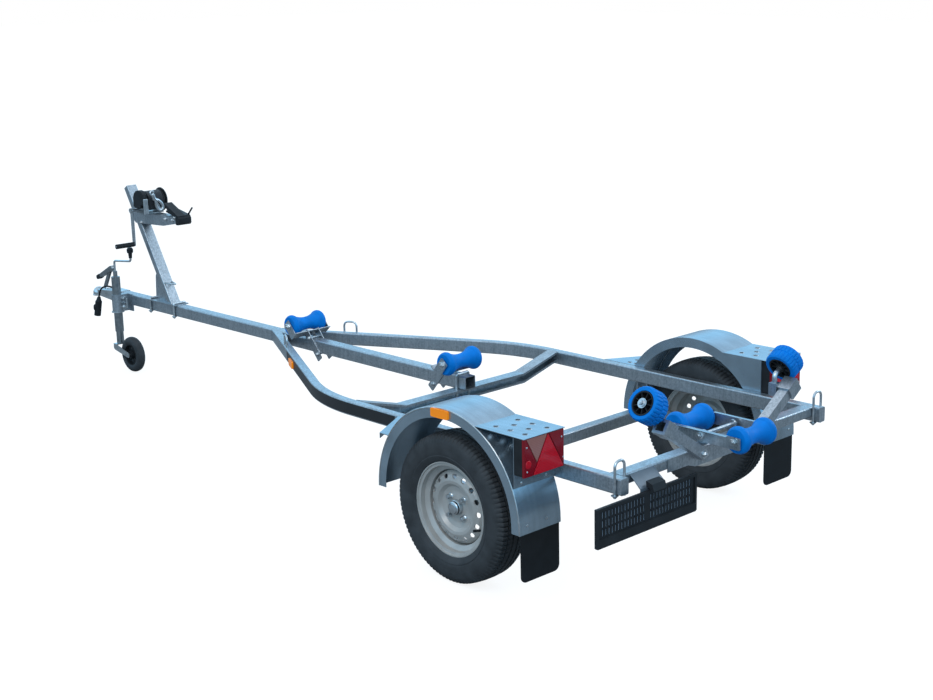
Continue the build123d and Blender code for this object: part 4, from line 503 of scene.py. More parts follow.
class TRAILER_OT_finishes(bpy.types.Operator):
    """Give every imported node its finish"""

    bl_idname = "trailer.finishes"
    bl_label = "Finishes"

    def execute(self, context):
        finish = context.scene.trailer_finish
        zinc, plating = tuple(finish.zinc), tuple(finish.plating)
        made = {
            "zinc": galvanised("galvanised_steel", zinc, finish.spangle),
            # the sheet's blue is partly the zinc's own tone and partly a painted reflection of the sky
            "zinc_sheet": rolled_sheet("galvanised_sheet", (0.33, 0.405, 0.465)),
            "dull_steel": plated("dull_plating", scaled(plating, 0.5), 0.34),
            "bright_zinc": plated("zinc_plating", plating),
            # dull zinc darkened further as painted shade, for the plate bracket
            "dark_zinc": painted("dark_zinc", (0.15, 0.18, 0.21), 0.4, metallic=0.5),
            # slate_plastic also colours the sheet behind the plate's slots, which is painted shade
            "slate_plastic": painted("slate_plastic", (0.42, 0.46, 0.54), 0.4),
            "tyre": moulded("tyre_rubber", (0.046, 0.046, 0.048), 0.58, 0.0016, 0.22),
            "rim_paint": painted("rim_silver", tuple(finish.rim), 0.42, 0.25, 0.1),
            "blue_rubber": moulded("roller_blue", tuple(finish.roller), 0.5, 0.0014, 0.12, 0.1),
            "black_plastic": moulded("black_plastic", (0.018, 0.019, 0.021), 0.42, 0.001, 0.2),
            "black_paint": painted("black_paint", (0.02, 0.02, 0.022), 0.4),
            "red_lens": lens("red_lens", (0.30, 0.003, 0.012)),
            "bright_lens": lens("reflex_red", (0.72, 0.006, 0.02)),
            "pale_lens": lens("pale_lens", (0.42, 0.16, 0.13)),
            # the amber lens has a painted glow, though the lamp is not lit
            "amber": lens("amber_lens", (1.0, 0.27, 0.006), glow=0.35),
            "flap_rubber": moulded("flap_rubber", (0.012, 0.012, 0.013), 0.55, 0.002, 0.25),
            "webbing": webbing("strap_webbing", (0.014, 0.015, 0.020)),
            "cable_rubber": moulded("cable_rubber", (0.014, 0.014, 0.015), 0.5),
        }
        for row in frame["record"]["subparts"]:
            shown = frame["nodes"][row["node"]]
            shown.data.materials.clear()
            shown.data.materials.append(made[FINISH_OF_NODE.get(row["node"], row["material_slot"])])
        for name, material in made.items():
            material["trailer_slot"] = name
        return {"FINISHED"}


def finish_of(slot):
    """The material made for one of the record's slots."""
    return next(m for m in bpy.data.materials if m.get("trailer_slot") == slot)


# ---- road tyres
class TRAILER_OT_tyres(bpy.types.Operator):
    """Build the treaded road tyres"""

    bl_idname = "trailer.tyres"
    bl_label = "Road tyres"

    def execute(self, context):
        shape = context.scene.trailer_shape
        depth = shape.tread_depth
        tread_half = 0.062
        crown = TYRE_RADIUS
        shoulder = TYRE_RADIUS - 0.005
        belly = (TYRE_HALF, 0.233)
        grooves = (-0.038, -0.013, 0.013, 0.038)

        def tread_radius(y):
            return crown - (crown - shoulder) * (y / tread_half) ** 2

        wall = arc((0.064, 0.1825), (TYRE_HALF - 0.002, 0.209), belly, 8)
        upper = arc(belly, (TYRE_HALF - 0.005, TYRE_RADIUS - 0.024), (tread_half, shoulder), 8)
        (y3, r3), (y4, r4) = wall[3:5]
        right = [(y, r, 0) for y, r in wall[:3]]
        right += [(y3 + 0.0014, r3, 0), (y4 + 0.0014, r4, 0), (y4, r4 + 0.002, 0)]
        right += [(y, r, 0) for y, r in wall[5:-1] + upper[:4]]
        lifts, cuts = (0.0008, 0.0008, 0, 0), (0.25, 0.5, 0.8, 1)
        right += [(y + lift, r, w) for (y, r), lift, w in zip(upper[4:8], lifts, cuts)]
        band = [(tread_half, shoulder, 1), (0.052, tread_radius(0.052), 1)]
        for centre in reversed(grooves):
            half, radius = 0.0036, tread_radius(centre)
            weight = 0 if abs(centre) < 0.02 else 1
            band += [
                (centre + half, radius, weight), (centre + half - 0.001, radius - depth, 0),
                (centre - half + 0.001, radius - depth, 0), (centre - half, radius, weight),
            ]
        band += [(-0.052, tread_radius(0.052), 1), (-tread_half, shoulder, 1)]
        outer = right + band[:-1] + [(-y, r, w) for y, r, w in reversed(right)]
        inner_wall = [
            (-0.041, 0.171), (-0.067, 0.222), (-0.066, 0.256), (-0.05, 0.27), (0.05, 0.27), (0.066, 0.256),
            (0.067, 0.222), (0.041, 0.171), (0.0567, 0.171), (0.0587, 0.1803),
        ]
        outer_seat = [(-0.0587, 0.1803), (-0.0567, 0.171)]
        profile = [(y, r) for y, r, w in outer] + outer_seat + inner_wall
        weights = [w for y, r, w in outer] + [0] * (len(outer_seat) + len(inner_wall))
        pitch_steps = 4
        steps = shape.tread_pitches * pitch_steps

        def cut(step, index):
            y = profile[index][0]
            shifted = step + (2 if y < 0 else 0)
            return -depth * 0.8 * weights[index] if shifted % pitch_steps == 0 else 0

        for side, hand in SIDES:
            bm = bmesh.new()
            turned(bm, profile, (0, side * HALF_TRACK, HUB_Z), (0, side, 0), steps, closed=True, offset=cut)
            add_piece(
                f"treaded_tyre_{hand}", bm, f"wheel_{hand}", "tyre", sharp=40,
                stands_for=(f"tyre_{hand}",),
            )
        return {"FINISHED"}


# ---- wheel fittings
BOLT_CIRCLE_RADIUS = 0.05
GREASE_CAP = (
    (0, 0.0285), (0.014, 0.0285), (0.0155, 0.0262), (0.0225, 0.0258), (0.0265, 0.0222), (0.0282, 0.015),
    (0.0288, 0.004),
)


class TRAILER_OT_wheel_fittings(bpy.types.Operator):
    """Add wheel bolts, grease caps and valves"""

    bl_idname = "trailer.wheel_fittings"
    bl_label = "Wheel fittings"

    def execute(self, context):
        for side, hand in SIDES:
            face_y = side * (HALF_TRACK + 0.022)
            bm = bmesh.new()
            for turn in range(4):
                angle = radians(45 + 90 * turn)
                at = (BOLT_CIRCLE_RADIUS * cos(angle), face_y, HUB_Z + BOLT_CIRCLE_RADIUS * sin(angle))
                turned(bm, [(0, 0.0125), (0.004, 0.0105), (0.0045, 0.0098)], at, (0, side, 0), 24)
                turned(bm, [(0.0045, 0.0098), (0.018, 0.0098), (0.0205, 0.008)], at, (0, side, 0), 6)
            add_piece(f"wheel_bolts_{hand}", bm, f"wheel_{hand}", "bright_zinc")
            bm = bmesh.new()
            turned(bm, GREASE_CAP, (0, face_y, HUB_Z), (0, side, 0), 48)
            add_piece(f"grease_cap_{hand}", bm, f"wheel_{hand}", "bright_zinc")
            bm = bmesh.new()
            angle = radians(200)
            out = Vector((cos(angle), 0, sin(angle)))
            at = Vector((0, side * (HALF_TRACK + 0.036), HUB_Z)) + out * 0.152
            rod(bm, at, at + Vector((0, side * 0.026, 0)) - out * 0.008, 0.0045, 16)
            cap_root = at + Vector((0, side * 0.022, 0)) - out * 0.007
            rod(bm, cap_root, at + Vector((0, side * 0.034, 0)) - out * 0.0105, 0.0054, 16, 0.001)
            add_piece(f"valve_{hand}", bm, f"wheel_{hand}", "black_plastic")
        return {"FINISHED"}


# ---- side rollers
ROLLER_AT = (-0.625, 0.408, 0.723)
ROLLER_TILT = radians(29)
ROLLER_RADIUS = 0.065
ROLLER_WIDTH = 0.073
ROLLER_BORE = 0.0452
ROLLER_SPOKES = 9
STEM_TIP = 0.040


class TRAILER_OT_side_rollers(bpy.types.Operator):
    """Build the ribbed side rollers and their spoked cores"""

    bl_idname = "trailer.side_rollers"
    bl_label = "Side rollers"

    def execute(self, context):
        ribs = context.scene.trailer_shape.roller_ribs
        half = ROLLER_WIDTH / 2
        rib_steps = 8
        edge = ROLLER_RADIUS - 0.006
        profile = [
            (-half, ROLLER_BORE + 0.002), (-half, edge),
            (-half + 0.004, edge + 0.0045), (-half + 0.009, ROLLER_RADIUS),
            (-0.003, ROLLER_RADIUS), (-0.001, ROLLER_RADIUS - 0.0028), (0.001, ROLLER_RADIUS - 0.0028),
            (0.003, ROLLER_RADIUS), (half - 0.009, ROLLER_RADIUS), (half - 0.004, edge + 0.0045), (half, edge),
            (half, ROLLER_BORE + 0.002), (half - 0.004, ROLLER_BORE), (-half + 0.004, ROLLER_BORE),
        ]

        def rib(step, index):
            """The grooves between the ribs, half a pitch apart in the two rows."""
            if index in (0, 1, 5, 6, 10, 11, 12, 13):
                return 0
            phase = (step + (4 if index > 6 else 0)) % rib_steps
            return (-0.0032, -0.0018, 0, 0, 0, 0, 0, -0.0018)[phase]

        for side, hand in SIDES:
            centre = Vector((ROLLER_AT[0], side * ROLLER_AT[1], ROLLER_AT[2]))
            axis = Vector((0, side * cos(ROLLER_TILT), sin(ROLLER_TILT)))
            body = f"wobble_roller_{hand}"
            bm = bmesh.new()
            turned(bm, profile, centre, axis, ribs * rib_steps, closed=True, offset=rib)
            add_piece(
                f"ribbed_roller_{hand}", bm, body, "blue_rubber",
                stands_for=(f"wobble_tyre_{hand}",),
            )
            bm = bmesh.new()
            sleeve(bm, (-half, half), (0.0404, 0.0448), centre, axis, 64)
            sleeve(bm, (-half, half), (0.0104, 0.0165), centre, axis, 48)
            sleeve(bm, (-0.003, 0.003), (0.016, 0.041), centre, axis, 64)
            along, first, second = basis(axis)
            deep = along * (half - 0.004)
            for turn in range(ROLLER_SPOKES):
                angle = 2 * pi * turn / ROLLER_SPOKES
                out = first * cos(angle) + second * sin(angle)
                thick = along.cross(out) * 0.0024
                root, rim = centre + out * 0.0155 - thick / 2, centre + out * 0.0415 - thick / 2
                slab(bm, (root - deep, rim - deep, rim + deep, root + deep), thick)
            add_piece(
                f"roller_core_{hand}", bm, body, "black_plastic",
                stands_for=(f"wobble_core_{hand}",),
            )
            bm = bmesh.new()
            sleeve(bm, (0, 0.0022), (0.0106, 0.0185), centre + axis * half, axis, 32)
            add_piece(f"roller_washer_{hand}", bm, body, "bright_zinc")
            bm = bmesh.new()
            bolt_head(bm, centre + axis * STEM_TIP, axis, 0.0165)
            add_piece(f"roller_nut_{hand}", bm, "chassis", "bright_zinc")
        return {"FINISHED"}


# ---- mudguard trim, sticker and holes
GUARD_AT = (-0.014, 0.306)
GUARD_RADIUS = 0.381
GUARD_EDGE_Y = 0.8215
GUARD_TAIL_Z = 0.293
BEAM_BEND_FROM = 0.797
BEAM_BEND_RADIUS = 0.82
STICKER_FROM = 0.505
BEAM_BEND = radians(27.4)
STICKER_STRAIGHT = 0.62
STICKER_LOW, STICKER_HIGH = 0.4618, 0.5086
STICKER_FACES = ((0.0001, STICKER_LOW), (0.0006, STICKER_LOW), (0.0006, STICKER_HIGH), (0.0001, STICKER_HIGH))
HEM_RADIUS = 0.003
GUARD_RIVETS = ((-0.395, 0.785, 0.324), (-0.395, 0.688, 0.326), (-0.370, 0.786, 0.476), (-0.370, 0.661, 0.477))
BOX_TOP_Z = 0.652
BOX_HOLES = (
    (-0.3785, 0.663), (-0.3065, 0.663), (-0.2345, 0.663), (-0.3785, 0.773), (-0.3065, 0.773), (-0.2345, 0.773),
    (-0.3425, 0.718), (-0.2705, 0.718),
)
STEP_HOLES = tuple((x, y) for x in (0.3225, 0.3585) for y in (0.644, 0.694, 0.744))
# raised rims of the tread holes: height of the holes, their places and their radius
TREAD_HOLES = ((BOX_TOP_Z, BOX_HOLES, 0.0092), (FRAME_TOP, STEP_HOLES, 0.0082))


class TRAILER_OT_guard_trim(bpy.types.Operator):
    """Add the mudguards' hems in bright plating as a painted highlight, their rivets, the tread holes' rims and the
    plain beam stickers
    """

    bl_idname = "trailer.guard_trim"
    bl_label = "Guard trim"

    def execute(self, context):
        rivets = bmesh.new()
        rims = bmesh.new()
        for side, hand in SIDES:
            bm = bmesh.new()
            reach = GUARD_RADIUS - HEM_RADIUS
            turns = [pi * (1 - k / 64) for k in range(65)]
            edge_y = side * GUARD_EDGE_Y
            line = [(GUARD_AT[0] + reach * cos(a), edge_y, GUARD_AT[1] + reach * sin(a)) for a in turns]
            bent_rod(bm, [(GUARD_AT[0] - reach, edge_y, GUARD_TAIL_Z), *line], HEM_RADIUS, 10)
            # the hem takes the bright plating, not the guard's sheet finish: a painted highlight along the rolled
            # edge
            add_piece(f"guard_hem_highlight_{hand}", bm, "chassis", "bright_zinc")

            for x, y, z in GUARD_RIVETS:
                rivet(rivets, (x, side * y, z), (-1, 0, 0))
            for z, holes, radius in TREAD_HOLES:
                rim = [(0, radius), (0.0013, radius + 0.0004), (0.0013, radius + 0.0016), (0, radius + 0.003)]
                for x, y in holes:
                    turned(rims, rim, (x, side * y, z), (0, 0, 1), 24, closed=True)

            bm = bmesh.new()
            centre_y = BEAM_OUTER_Y - BEAM_BEND_RADIUS
            outline = [(STICKER_FROM, BEAM_OUTER_Y, 0.0)]
            outline += [
                (BEAM_BEND_FROM + BEAM_BEND_RADIUS * sin(a), centre_y + BEAM_BEND_RADIUS * cos(a), a)
                for a in (BEAM_BEND * k / 16 for k in range(17))
            ]
            x, y, turn = outline[-1]
            outline.append((x + STICKER_STRAIGHT * cos(turn), y - STICKER_STRAIGHT * sin(turn), turn))
            rows = []
            for x, y, turn in outline:
                off = Vector((sin(turn), side * cos(turn), 0))
                foot = Vector((x, side * y, 0))
                rows.append([bm.verts.new(foot + off * gap + Vector((0, 0, z))) for gap, z in STICKER_FACES])
            lofted(bm, rows)
            add_piece(f"beam_sticker_{hand}", bm, "chassis", "black_paint")
        add_piece("guard_rivets", rivets, "chassis", "bright_zinc")
        add_piece("tread_hole_rims", rims, "chassis", "zinc")
        return {"FINISHED"}


# ---- tail lamps
LENS_REAR_X = -0.420
LENS_BACK_X = -0.408
LENS_INNER_Y, LENS_OUTER_Y = 0.620, 0.820
LENS_LOW_Z, LENS_HIGH_Z = 0.5097, 0.6497
# lens panels as (material slot, outline (y, z)), y on the left lamp
LENS_PANELS = (
    ("bright_lens", ((0.7005, 0.6470), (0.7735, 0.5120), (0.6220, 0.5120))),
    ("pale_lens", ((0.8070, 0.6475), (0.7060, 0.6475), (0.7570, 0.5570))),
    ("red_lens", ((0.8185, 0.6475), (0.8115, 0.6475), (0.7600, 0.5520), (0.7805, 0.5120), (0.8185, 0.5120))),
    ("red_lens", ((0.6950, 0.6475), (0.6215, 0.6475), (0.6215, 0.5155))),
)
LENS_RIDGES = ((0.700, 0.585), (0.697, 0.560))
LENS_SCREWS = ((0.808, 0.619), (0.807, 0.531), (0.633, 0.621), (0.625, 0.545))


class TRAILER_OT_tail_lamps(bpy.types.Operator):
    """Build the tail lamps' lenses with their reflex triangles"""

    bl_idname = "trailer.tail_lamps"
    bl_label = "Tail lamps"

    def execute(self, context):
        for side, hand in SIDES:
            bm = bmesh.new()
            low_y, high_y = sorted((side * LENS_INNER_Y, side * LENS_OUTER_Y))
            block(bm, (LENS_REAR_X + 0.0028, low_y, LENS_LOW_Z), (LENS_BACK_X, high_y, LENS_HIGH_Z))
            stands_for = ("tail_lenses",) if side == 1 else ()
            add_piece(f"lens_body_{hand}", bm, "chassis", "red_lens", bevel=0.0015, stands_for=stands_for)
            for index, (slot, outline) in enumerate(LENS_PANELS):
                bm = bmesh.new()
                slab(bm, [(LENS_REAR_X, side * y, z) for y, z in outline], (0.0034, 0, 0))
                add_piece(f"lens_panel_{hand}_{index}", bm, "chassis", slot, bevel=0.0008)
            bm = bmesh.new()
            dome = [(0, 0.0145), (0.001, 0.0135), (0.0014, 0.006)]
            turned(bm, dome, (LENS_REAR_X, side * 0.7995, 0.556), (-1, 0, 0), 32)
            for y, z in LENS_RIDGES:
                reach = (0.6475 - z) * 0.5
                ridge = ((y + reach, z - 0.004), (y + reach, z), (y - reach, z), (y - reach, z - 0.004))
                slab(bm, [(LENS_REAR_X, side * py, pz) for py, pz in ridge], (-0.0006, 0, 0))
            add_piece(f"lens_bullseye_{hand}", bm, "chassis", "bright_lens")
            bm = bmesh.new()
            for y, z in LENS_SCREWS:
                rivet(bm, (LENS_REAR_X, side * y, z), (-1, 0, 0), 0.0036)
            add_piece(f"lens_screws_{hand}", bm, "chassis", "bright_zinc")
        return {"FINISHED"}


# ---- number plate carrier
PLATE_FACE_X = -0.712
PLATE_SIDES = (0.238, 0.774)
PLATE_HEIGHTS = (0.316, 0.455)
PLATE_WINDOW = (0.346, 0.444)
PLATE_BORDER = 0.011
PLATE_ROWS = (0.364, 0.395, 0.426)
PLATE_THICK = 0.012
SLOT_COLUMNS = 14
SLOT_PITCH = 0.0165
SLOT_HALF_WIDTH, SLOT_HALF_HEIGHT = 0.0028, 0.012
SLOT_GROUP_SHIFT = 0.126


class TRAILER_OT_plate(bpy.types.Operator):
    """Build the number plate carrier with its slotted panel"""

    bl_idname = "trailer.plate"
    bl_label = "Plate carrier"

    def execute(self, context):
        bm = bmesh.new()
        face, back = PLATE_FACE_X, PLATE_FACE_X + PLATE_THICK
        (right, left), (low, high), (sill, head) = PLATE_SIDES, PLATE_HEIGHTS, PLATE_WINDOW
        block(bm, (face, right, low), (back, left, sill))
        block(bm, (face, right, head), (back, left, high))
        block(bm, (face, right, sill), (back, right + PLATE_BORDER, head))
        block(bm, (face, left - PLATE_BORDER, sill), (back, left, head))
        panel_face, panel_back = face + 0.005, face + 0.008
        middle = (right + left) / 2
        groups = (middle - SLOT_GROUP_SHIFT, middle + SLOT_GROUP_SHIFT)
        places = [(k - (SLOT_COLUMNS - 1) / 2) * SLOT_PITCH for k in range(SLOT_COLUMNS)]
        slots = sorted(group + place for group in groups for place in places)
        cuts = (y + way * SLOT_HALF_WIDTH for y in slots for way in (-1, 1))
        edges = [right + PLATE_BORDER, *cuts, left - PLATE_BORDER]
        bars = list(zip(edges[::2], edges[1::2]))
        heights = [sill, *(z + way * SLOT_HALF_HEIGHT for z in PLATE_ROWS for way in (-1, 1)), head]
        for bottom, top in zip(heights[::2], heights[1::2]):
            block(bm, (panel_face, right + PLATE_BORDER, bottom), (panel_back, left - PLATE_BORDER, top))
        for z in PLATE_ROWS:
            for y0, y1 in bars:
                block(bm, (panel_face, y0, z - SLOT_HALF_HEIGHT), (panel_back, y1, z + SLOT_HALF_HEIGHT))
        for group in groups:
            for z in (0.3795, 0.4105):
                for k in range(7):
                    y = group + (k - 3) * 0.033
                    block(bm, (panel_face - 0.0025, y - 0.009, z - 0.0022), (panel_face, y + 0.009, z + 0.0022))
        block(bm, (face, right + 0.004, low - 0.0035), (back, left - 0.004, low - 0.0003))
        add_piece("slotted_plate_frame", bm, "chassis", "black_plastic", stands_for=("plate_frame",))
        bm = bmesh.new()
        # a grey sheet behind the slots as painted shade: it darkens what shows through them
        block(bm, (panel_back, right + PLATE_BORDER, sill), (panel_back + 0.001, left - PLATE_BORDER, head))
        add_piece("slot_shade_backing", bm, "chassis", "slate_plastic")
        return {"FINISHED"}


# ---- cradle flanges
CRADLE_FLANGE_X = (-0.745, -0.515)
CRADLE_FLANGE_Y = (0.1075, 0.1195)
CRADLE_FLANGE_Z = (0.5665, 0.5695)


class TRAILER_OT_cradle_flanges(bpy.types.Operator):
    """Turn the top edges of the cradle's side plates outwards"""

    bl_idname = "trailer.cradle_flanges"
    bl_label = "Cradle flanges"

    def execute(self, context):
        bm = bmesh.new()
        for side, _ in SIDES:
            low, high = zip(CRADLE_FLANGE_X, (side * y for y in CRADLE_FLANGE_Y), CRADLE_FLANGE_Z)
            block(bm, low, high)
        add_piece("cradle_flanges", bm, "cradle", "zinc_sheet", bevel=0.001)
        return {"FINISHED"}


# ---- winch, coupling and jockey details
WINCH_AXIS = (3.215, 1.068)
COVER_OUTLINE = (
    (3.170, 1.050), (3.163, 1.084), (3.170, 1.108), (3.188, 1.124), (3.212, 1.130), (3.240, 1.126),
    (3.262, 1.110), (3.273, 1.084), (3.273, 1.042), (3.262, 1.030), (3.200, 1.030), (3.196, 1.050),
)
BOW_REST_OUTLINE = ((2.898, 1.012), (3.026, 1.074), (3.031, 1.067), (2.990, 1.028))
HOOK_AT = (3.1445, -0.001, 1.050)
STRAP_WIDTH = 0.087
STRAP_THICK = 0.0017
STRAP_RADII = (0.031, 0.0525)
STRAP_TURNS = 9
STRAP_STEPS = 40


class TRAILER_OT_winch_details(bpy.types.Operator):
    """Dress the winch, its strap and its hook"""

    bl_idname = "trailer.winch_details"
    bl_label = "Winch details"

    def execute(self, context):
        x, z = WINCH_AXIS
        bm = bmesh.new()
        slab(bm, [(px, 0.0552, pz) for px, pz in COVER_OUTLINE], (0, 0.026, 0))
        add_piece("winch_cover", bm, "chassis", "black_plastic", bevel=0.004, stands_for=("gear_cover",))
        bm = bmesh.new()
        block(bm, (3.1585, 0.0556, 1.0006), (3.1660, 0.0840, 1.0860))
        add_piece("winch_cheek", bm, "chassis", "bright_zinc", bevel=0.003)
        bm = bmesh.new()
        slab(bm, [(px, -0.008, pz) for px, pz in BOW_REST_OUTLINE], (0, 0.050, 0))
        add_piece("bow_rest", bm, "chassis", "black_plastic", bevel=0.002)
        bm = bmesh.new()
        turned(bm, [(0, 0.064), (0.004, 0.0645), (0.008, 0.061)], (x, -0.0556, z), (0, -1, 0), 64)
        add_piece("winch_far_cover", bm, "chassis", "black_plastic")

        bm = bmesh.new()
        half, inner, outer = STRAP_WIDTH / 2, *STRAP_RADII
        count = STRAP_TURNS * STRAP_STEPS
        rows = []
        for k in range(count + 1):
            angle = -2 * pi * k / STRAP_STEPS
            out = Vector((cos(angle), 0, sin(angle)))
            foot = Vector((x, 0, z)) + out * (inner + (outer - inner) * k / count)
            rows.append([
                bm.verts.new(foot + Vector((0, y, 0)) + out * lift)
                for y, lift in ((-half, 0), (half, 0), (half, STRAP_THICK), (-half, STRAP_THICK))
            ])
        lofted(bm, rows)
        add_piece("strap_roll", bm, "winch_drum", "webbing", stands_for=("winch_strap",))

        bm = bmesh.new()
        at = Vector(HOOK_AT)
        turns = [2 * pi * k / 24 for k in range(24)]
        lean = Vector((0, 0.50, 0.866))
        across = Vector((0, 0.866, -0.50))
        loop = [at + across * (0.0165 - 0.005 * sin(a)) * cos(a) + lean * 0.032 * sin(a) for a in turns]
        bent_rod(bm, loop, 0.0082, 12, closed=True)
        eye_at = at + Vector((0.002, 0.038, 0.066))
        eye = [eye_at + Vector((0, 0.010 * cos(a), 0.011 * sin(a))) for a in turns]
        bent_rod(bm, eye, 0.0048, 10, closed=True)
        neck = (at + lean * 0.028, at + lean * 0.040 + Vector((0.001, 0.008, 0)), eye_at - lean * 0.010)
        bent_rod(bm, neck, 0.0115, 12)
        rod(bm, at + across * 0.006 - lean * 0.026, at + across * 0.002 + lean * 0.028, 0.0038, 12)
        add_piece("snap_hook", bm, "chassis", "bright_zinc", stands_for=("winch_hook",))
        return {"FINISHED"}


GRIP_OUTLINE = (
    (-0.024, -0.0125), (-0.024, 0.0125), (0.008, 0.0125), (0.014, 0.006), (0.014, -0.006), (0.008, -0.0125),
)


class TRAILER_OT_nose_details(bpy.types.Operator):
    """Dress the coupling, the jockey clamp, the plug and the tie-down loops"""

    bl_idname = "trailer.nose_details"
    bl_label = "Nose details"

    def execute(self, context):
        bm = bmesh.new()
        tip, along = Vector((3.846, -0.0155, 0.566)), Vector((0.913, 0, -0.408))
        over = Vector((0.408, 0, 0.913))
        slab(bm, [tip + along * u + over * v for u, v in GRIP_OUTLINE], (0, 0.031, 0))
        add_piece("lever_grip", bm, "chassis", "black_plastic", bevel=0.003)
        bm = bmesh.new()
        sleeve(bm, (-0.002, 0.0025), (0.0302, 0.0355), (3.505, 0.092, 0.4215), (0, 0, 1), 40)
        bolt_head(bm, (3.4812, 0.062, 0.496), (-1, 0, 0), 0.019)
        bolt_head(bm, (3.4812, 0.062, 0.448), (-1, 0, 0), 0.019)
        rod(bm, (3.481, 0.062, 0.472), (3.452, 0.062, 0.472), 0.006, 16)
        rod(bm, (3.454, 0.062, 0.444), (3.454, 0.062, 0.500), 0.0045, 16, 0.001)
        add_piece("clamp_screw", bm, "chassis", "bright_zinc")
        bm = bmesh.new()
        for way in (1, -1):
            beam = Vector((cos(BEAM_BEND), -way * sin(BEAM_BEND), 0)) * 0.033
            foot = Vector((1.780, way * 0.1976, FRAME_TOP))
            high = foot + Vector((0, 0, 0.052))
            bent_rod(bm, eased((foot - beam, high - beam, high + beam, foot + beam), 0.026), 0.005)
        ring_root, ring_z = 3.1056, 0.625
        ring = ((ring_root, -0.024, ring_z), (ring_root - 0.076, 0, ring_z), (ring_root, 0.024, ring_z))
        bent_rod(bm, eased(ring, 0.016), 0.005)
        add_piece("tie_rings", bm, "chassis", "bright_zinc")
        bm = bmesh.new()
        lid_way = Vector((0.687, 0.726, 0))
        lid_at = Vector((3.6845, 0.1075, 0.424)) + lid_way * 0.0185
        turned(bm, [(0, 0.0165), (0.009, 0.0175), (0.012, 0.015)], lid_at, lid_way, 32)
        add_piece("plug_lid", bm, "chassis", "black_plastic")
        return {"FINISHED"}


# ---- nuts and bolts
# nuts as (body, width across the flats, points on the left side, direction), each mirrored to the right
FRAME_BOLTS = (
    (
        "chassis", 0.016,
        ((1.8149, 0.0346, 0.5203), (1.7556, 0.0346, 0.4497), (0.8629, 0.0346, 0.5203), (0.9222, 0.0346, 0.4497)),
        "out",
    ),
    ("chassis", 0.024, ((1.885, 0.1042, 0.579), (0.780, 0.1042, 0.574), (-0.621, 0.1082, 0.547)), "out"),
    ("cradle", 0.022, ((-0.490, 0.1082, 0.553), (-0.772, 0.1082, 0.553)), "out"),
    ("chassis", 0.020, ((-0.6932, 0.172, 0.5066),), "rear"),
    (
        "chassis", 0.015,
        ((3.282, 0.0342, 0.943), (2.966, 0.0342, 0.984), (2.944, 0.0342, 1.000), (3.037, 0.0342, 0.985)), "out",
    ),
    (
        "chassis", 0.016,
        ((3.010, 0.036, 0.4548), (3.246, 0.036, 0.4548), (-0.655, 0.569, 0.4548), (-0.655, 0.619, 0.4548)), "down",
    ),
)


class TRAILER_OT_fasteners(bpy.types.Operator):
    """Add the frame's nuts and bolts"""

    bl_idname = "trailer.fasteners"
    bl_label = "Fasteners"

    def execute(self, context):
        made = {}
        for body, across, points, way in FRAME_BOLTS:
            bm = made.setdefault(body, bmesh.new())
            for x, y, z in points:
                for side, _ in SIDES:
                    axis = {"out": (0, side, 0), "rear": (-1, 0, 0), "down": (0, 0, -1)}[way]
                    bolt_head(bm, (x, side * y, z), axis, across)
        for body, bm in made.items():
            add_piece(f"fasteners_{body}", bm, body, "bright_zinc")
        return {"FINISHED"}


# ---- cords
# the towing plug's cable, level frame: the control points of its line
CABLE_LINE = (
    (3.5608, 0.0303, 0.5026), (3.585, 0.052, 0.536), (3.622, 0.076, 0.552), (3.662, 0.096, 0.540),
    (3.678, 0.104, 0.508), (3.682, 0.106, 0.484),
)
CABLE_DIAMETER = 0.010


class TRAILER_OT_cords(bpy.types.Operator):
    """Lay the towing plug's cable"""

    bl_idname = "trailer.cords"
    bl_label = "Cords"

    def execute(self, context):
        curve = bpy.data.curves.new("towing_cable", "CURVE")
        curve.dimensions = "3D"
        curve.bevel_depth = CABLE_DIAMETER / 2
        curve.bevel_resolution = 4
        curve.resolution_u = 12
        curve.use_fill_caps = True
        spline = curve.splines.new("NURBS")
        spline.points.add(len(CABLE_LINE) - 1)
        parked = [PARK @ Vector(point) for point in CABLE_LINE]
        for made, point in zip(spline.points, parked):
            made.co = (*point, 1)
        spline.order_u = 3
        spline.use_endpoint_u = True
        cable = placed("towing_cable", curve)
        cable.data.materials.append(finish_of("cable_rubber"))
        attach(cable, "chassis")
        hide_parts("plug_cable")
        return {"FINISHED"}


# ---- stage
def seen_directly(tree):
    """1 where a ray comes from the camera or through glass, and the light path node itself."""
    rays = node(tree, "ShaderNodeLightPath")
    return combined(tree, "MAXIMUM", rays.outputs["Is Camera Ray"], rays.outputs["Is Transmission Ray"]), rays


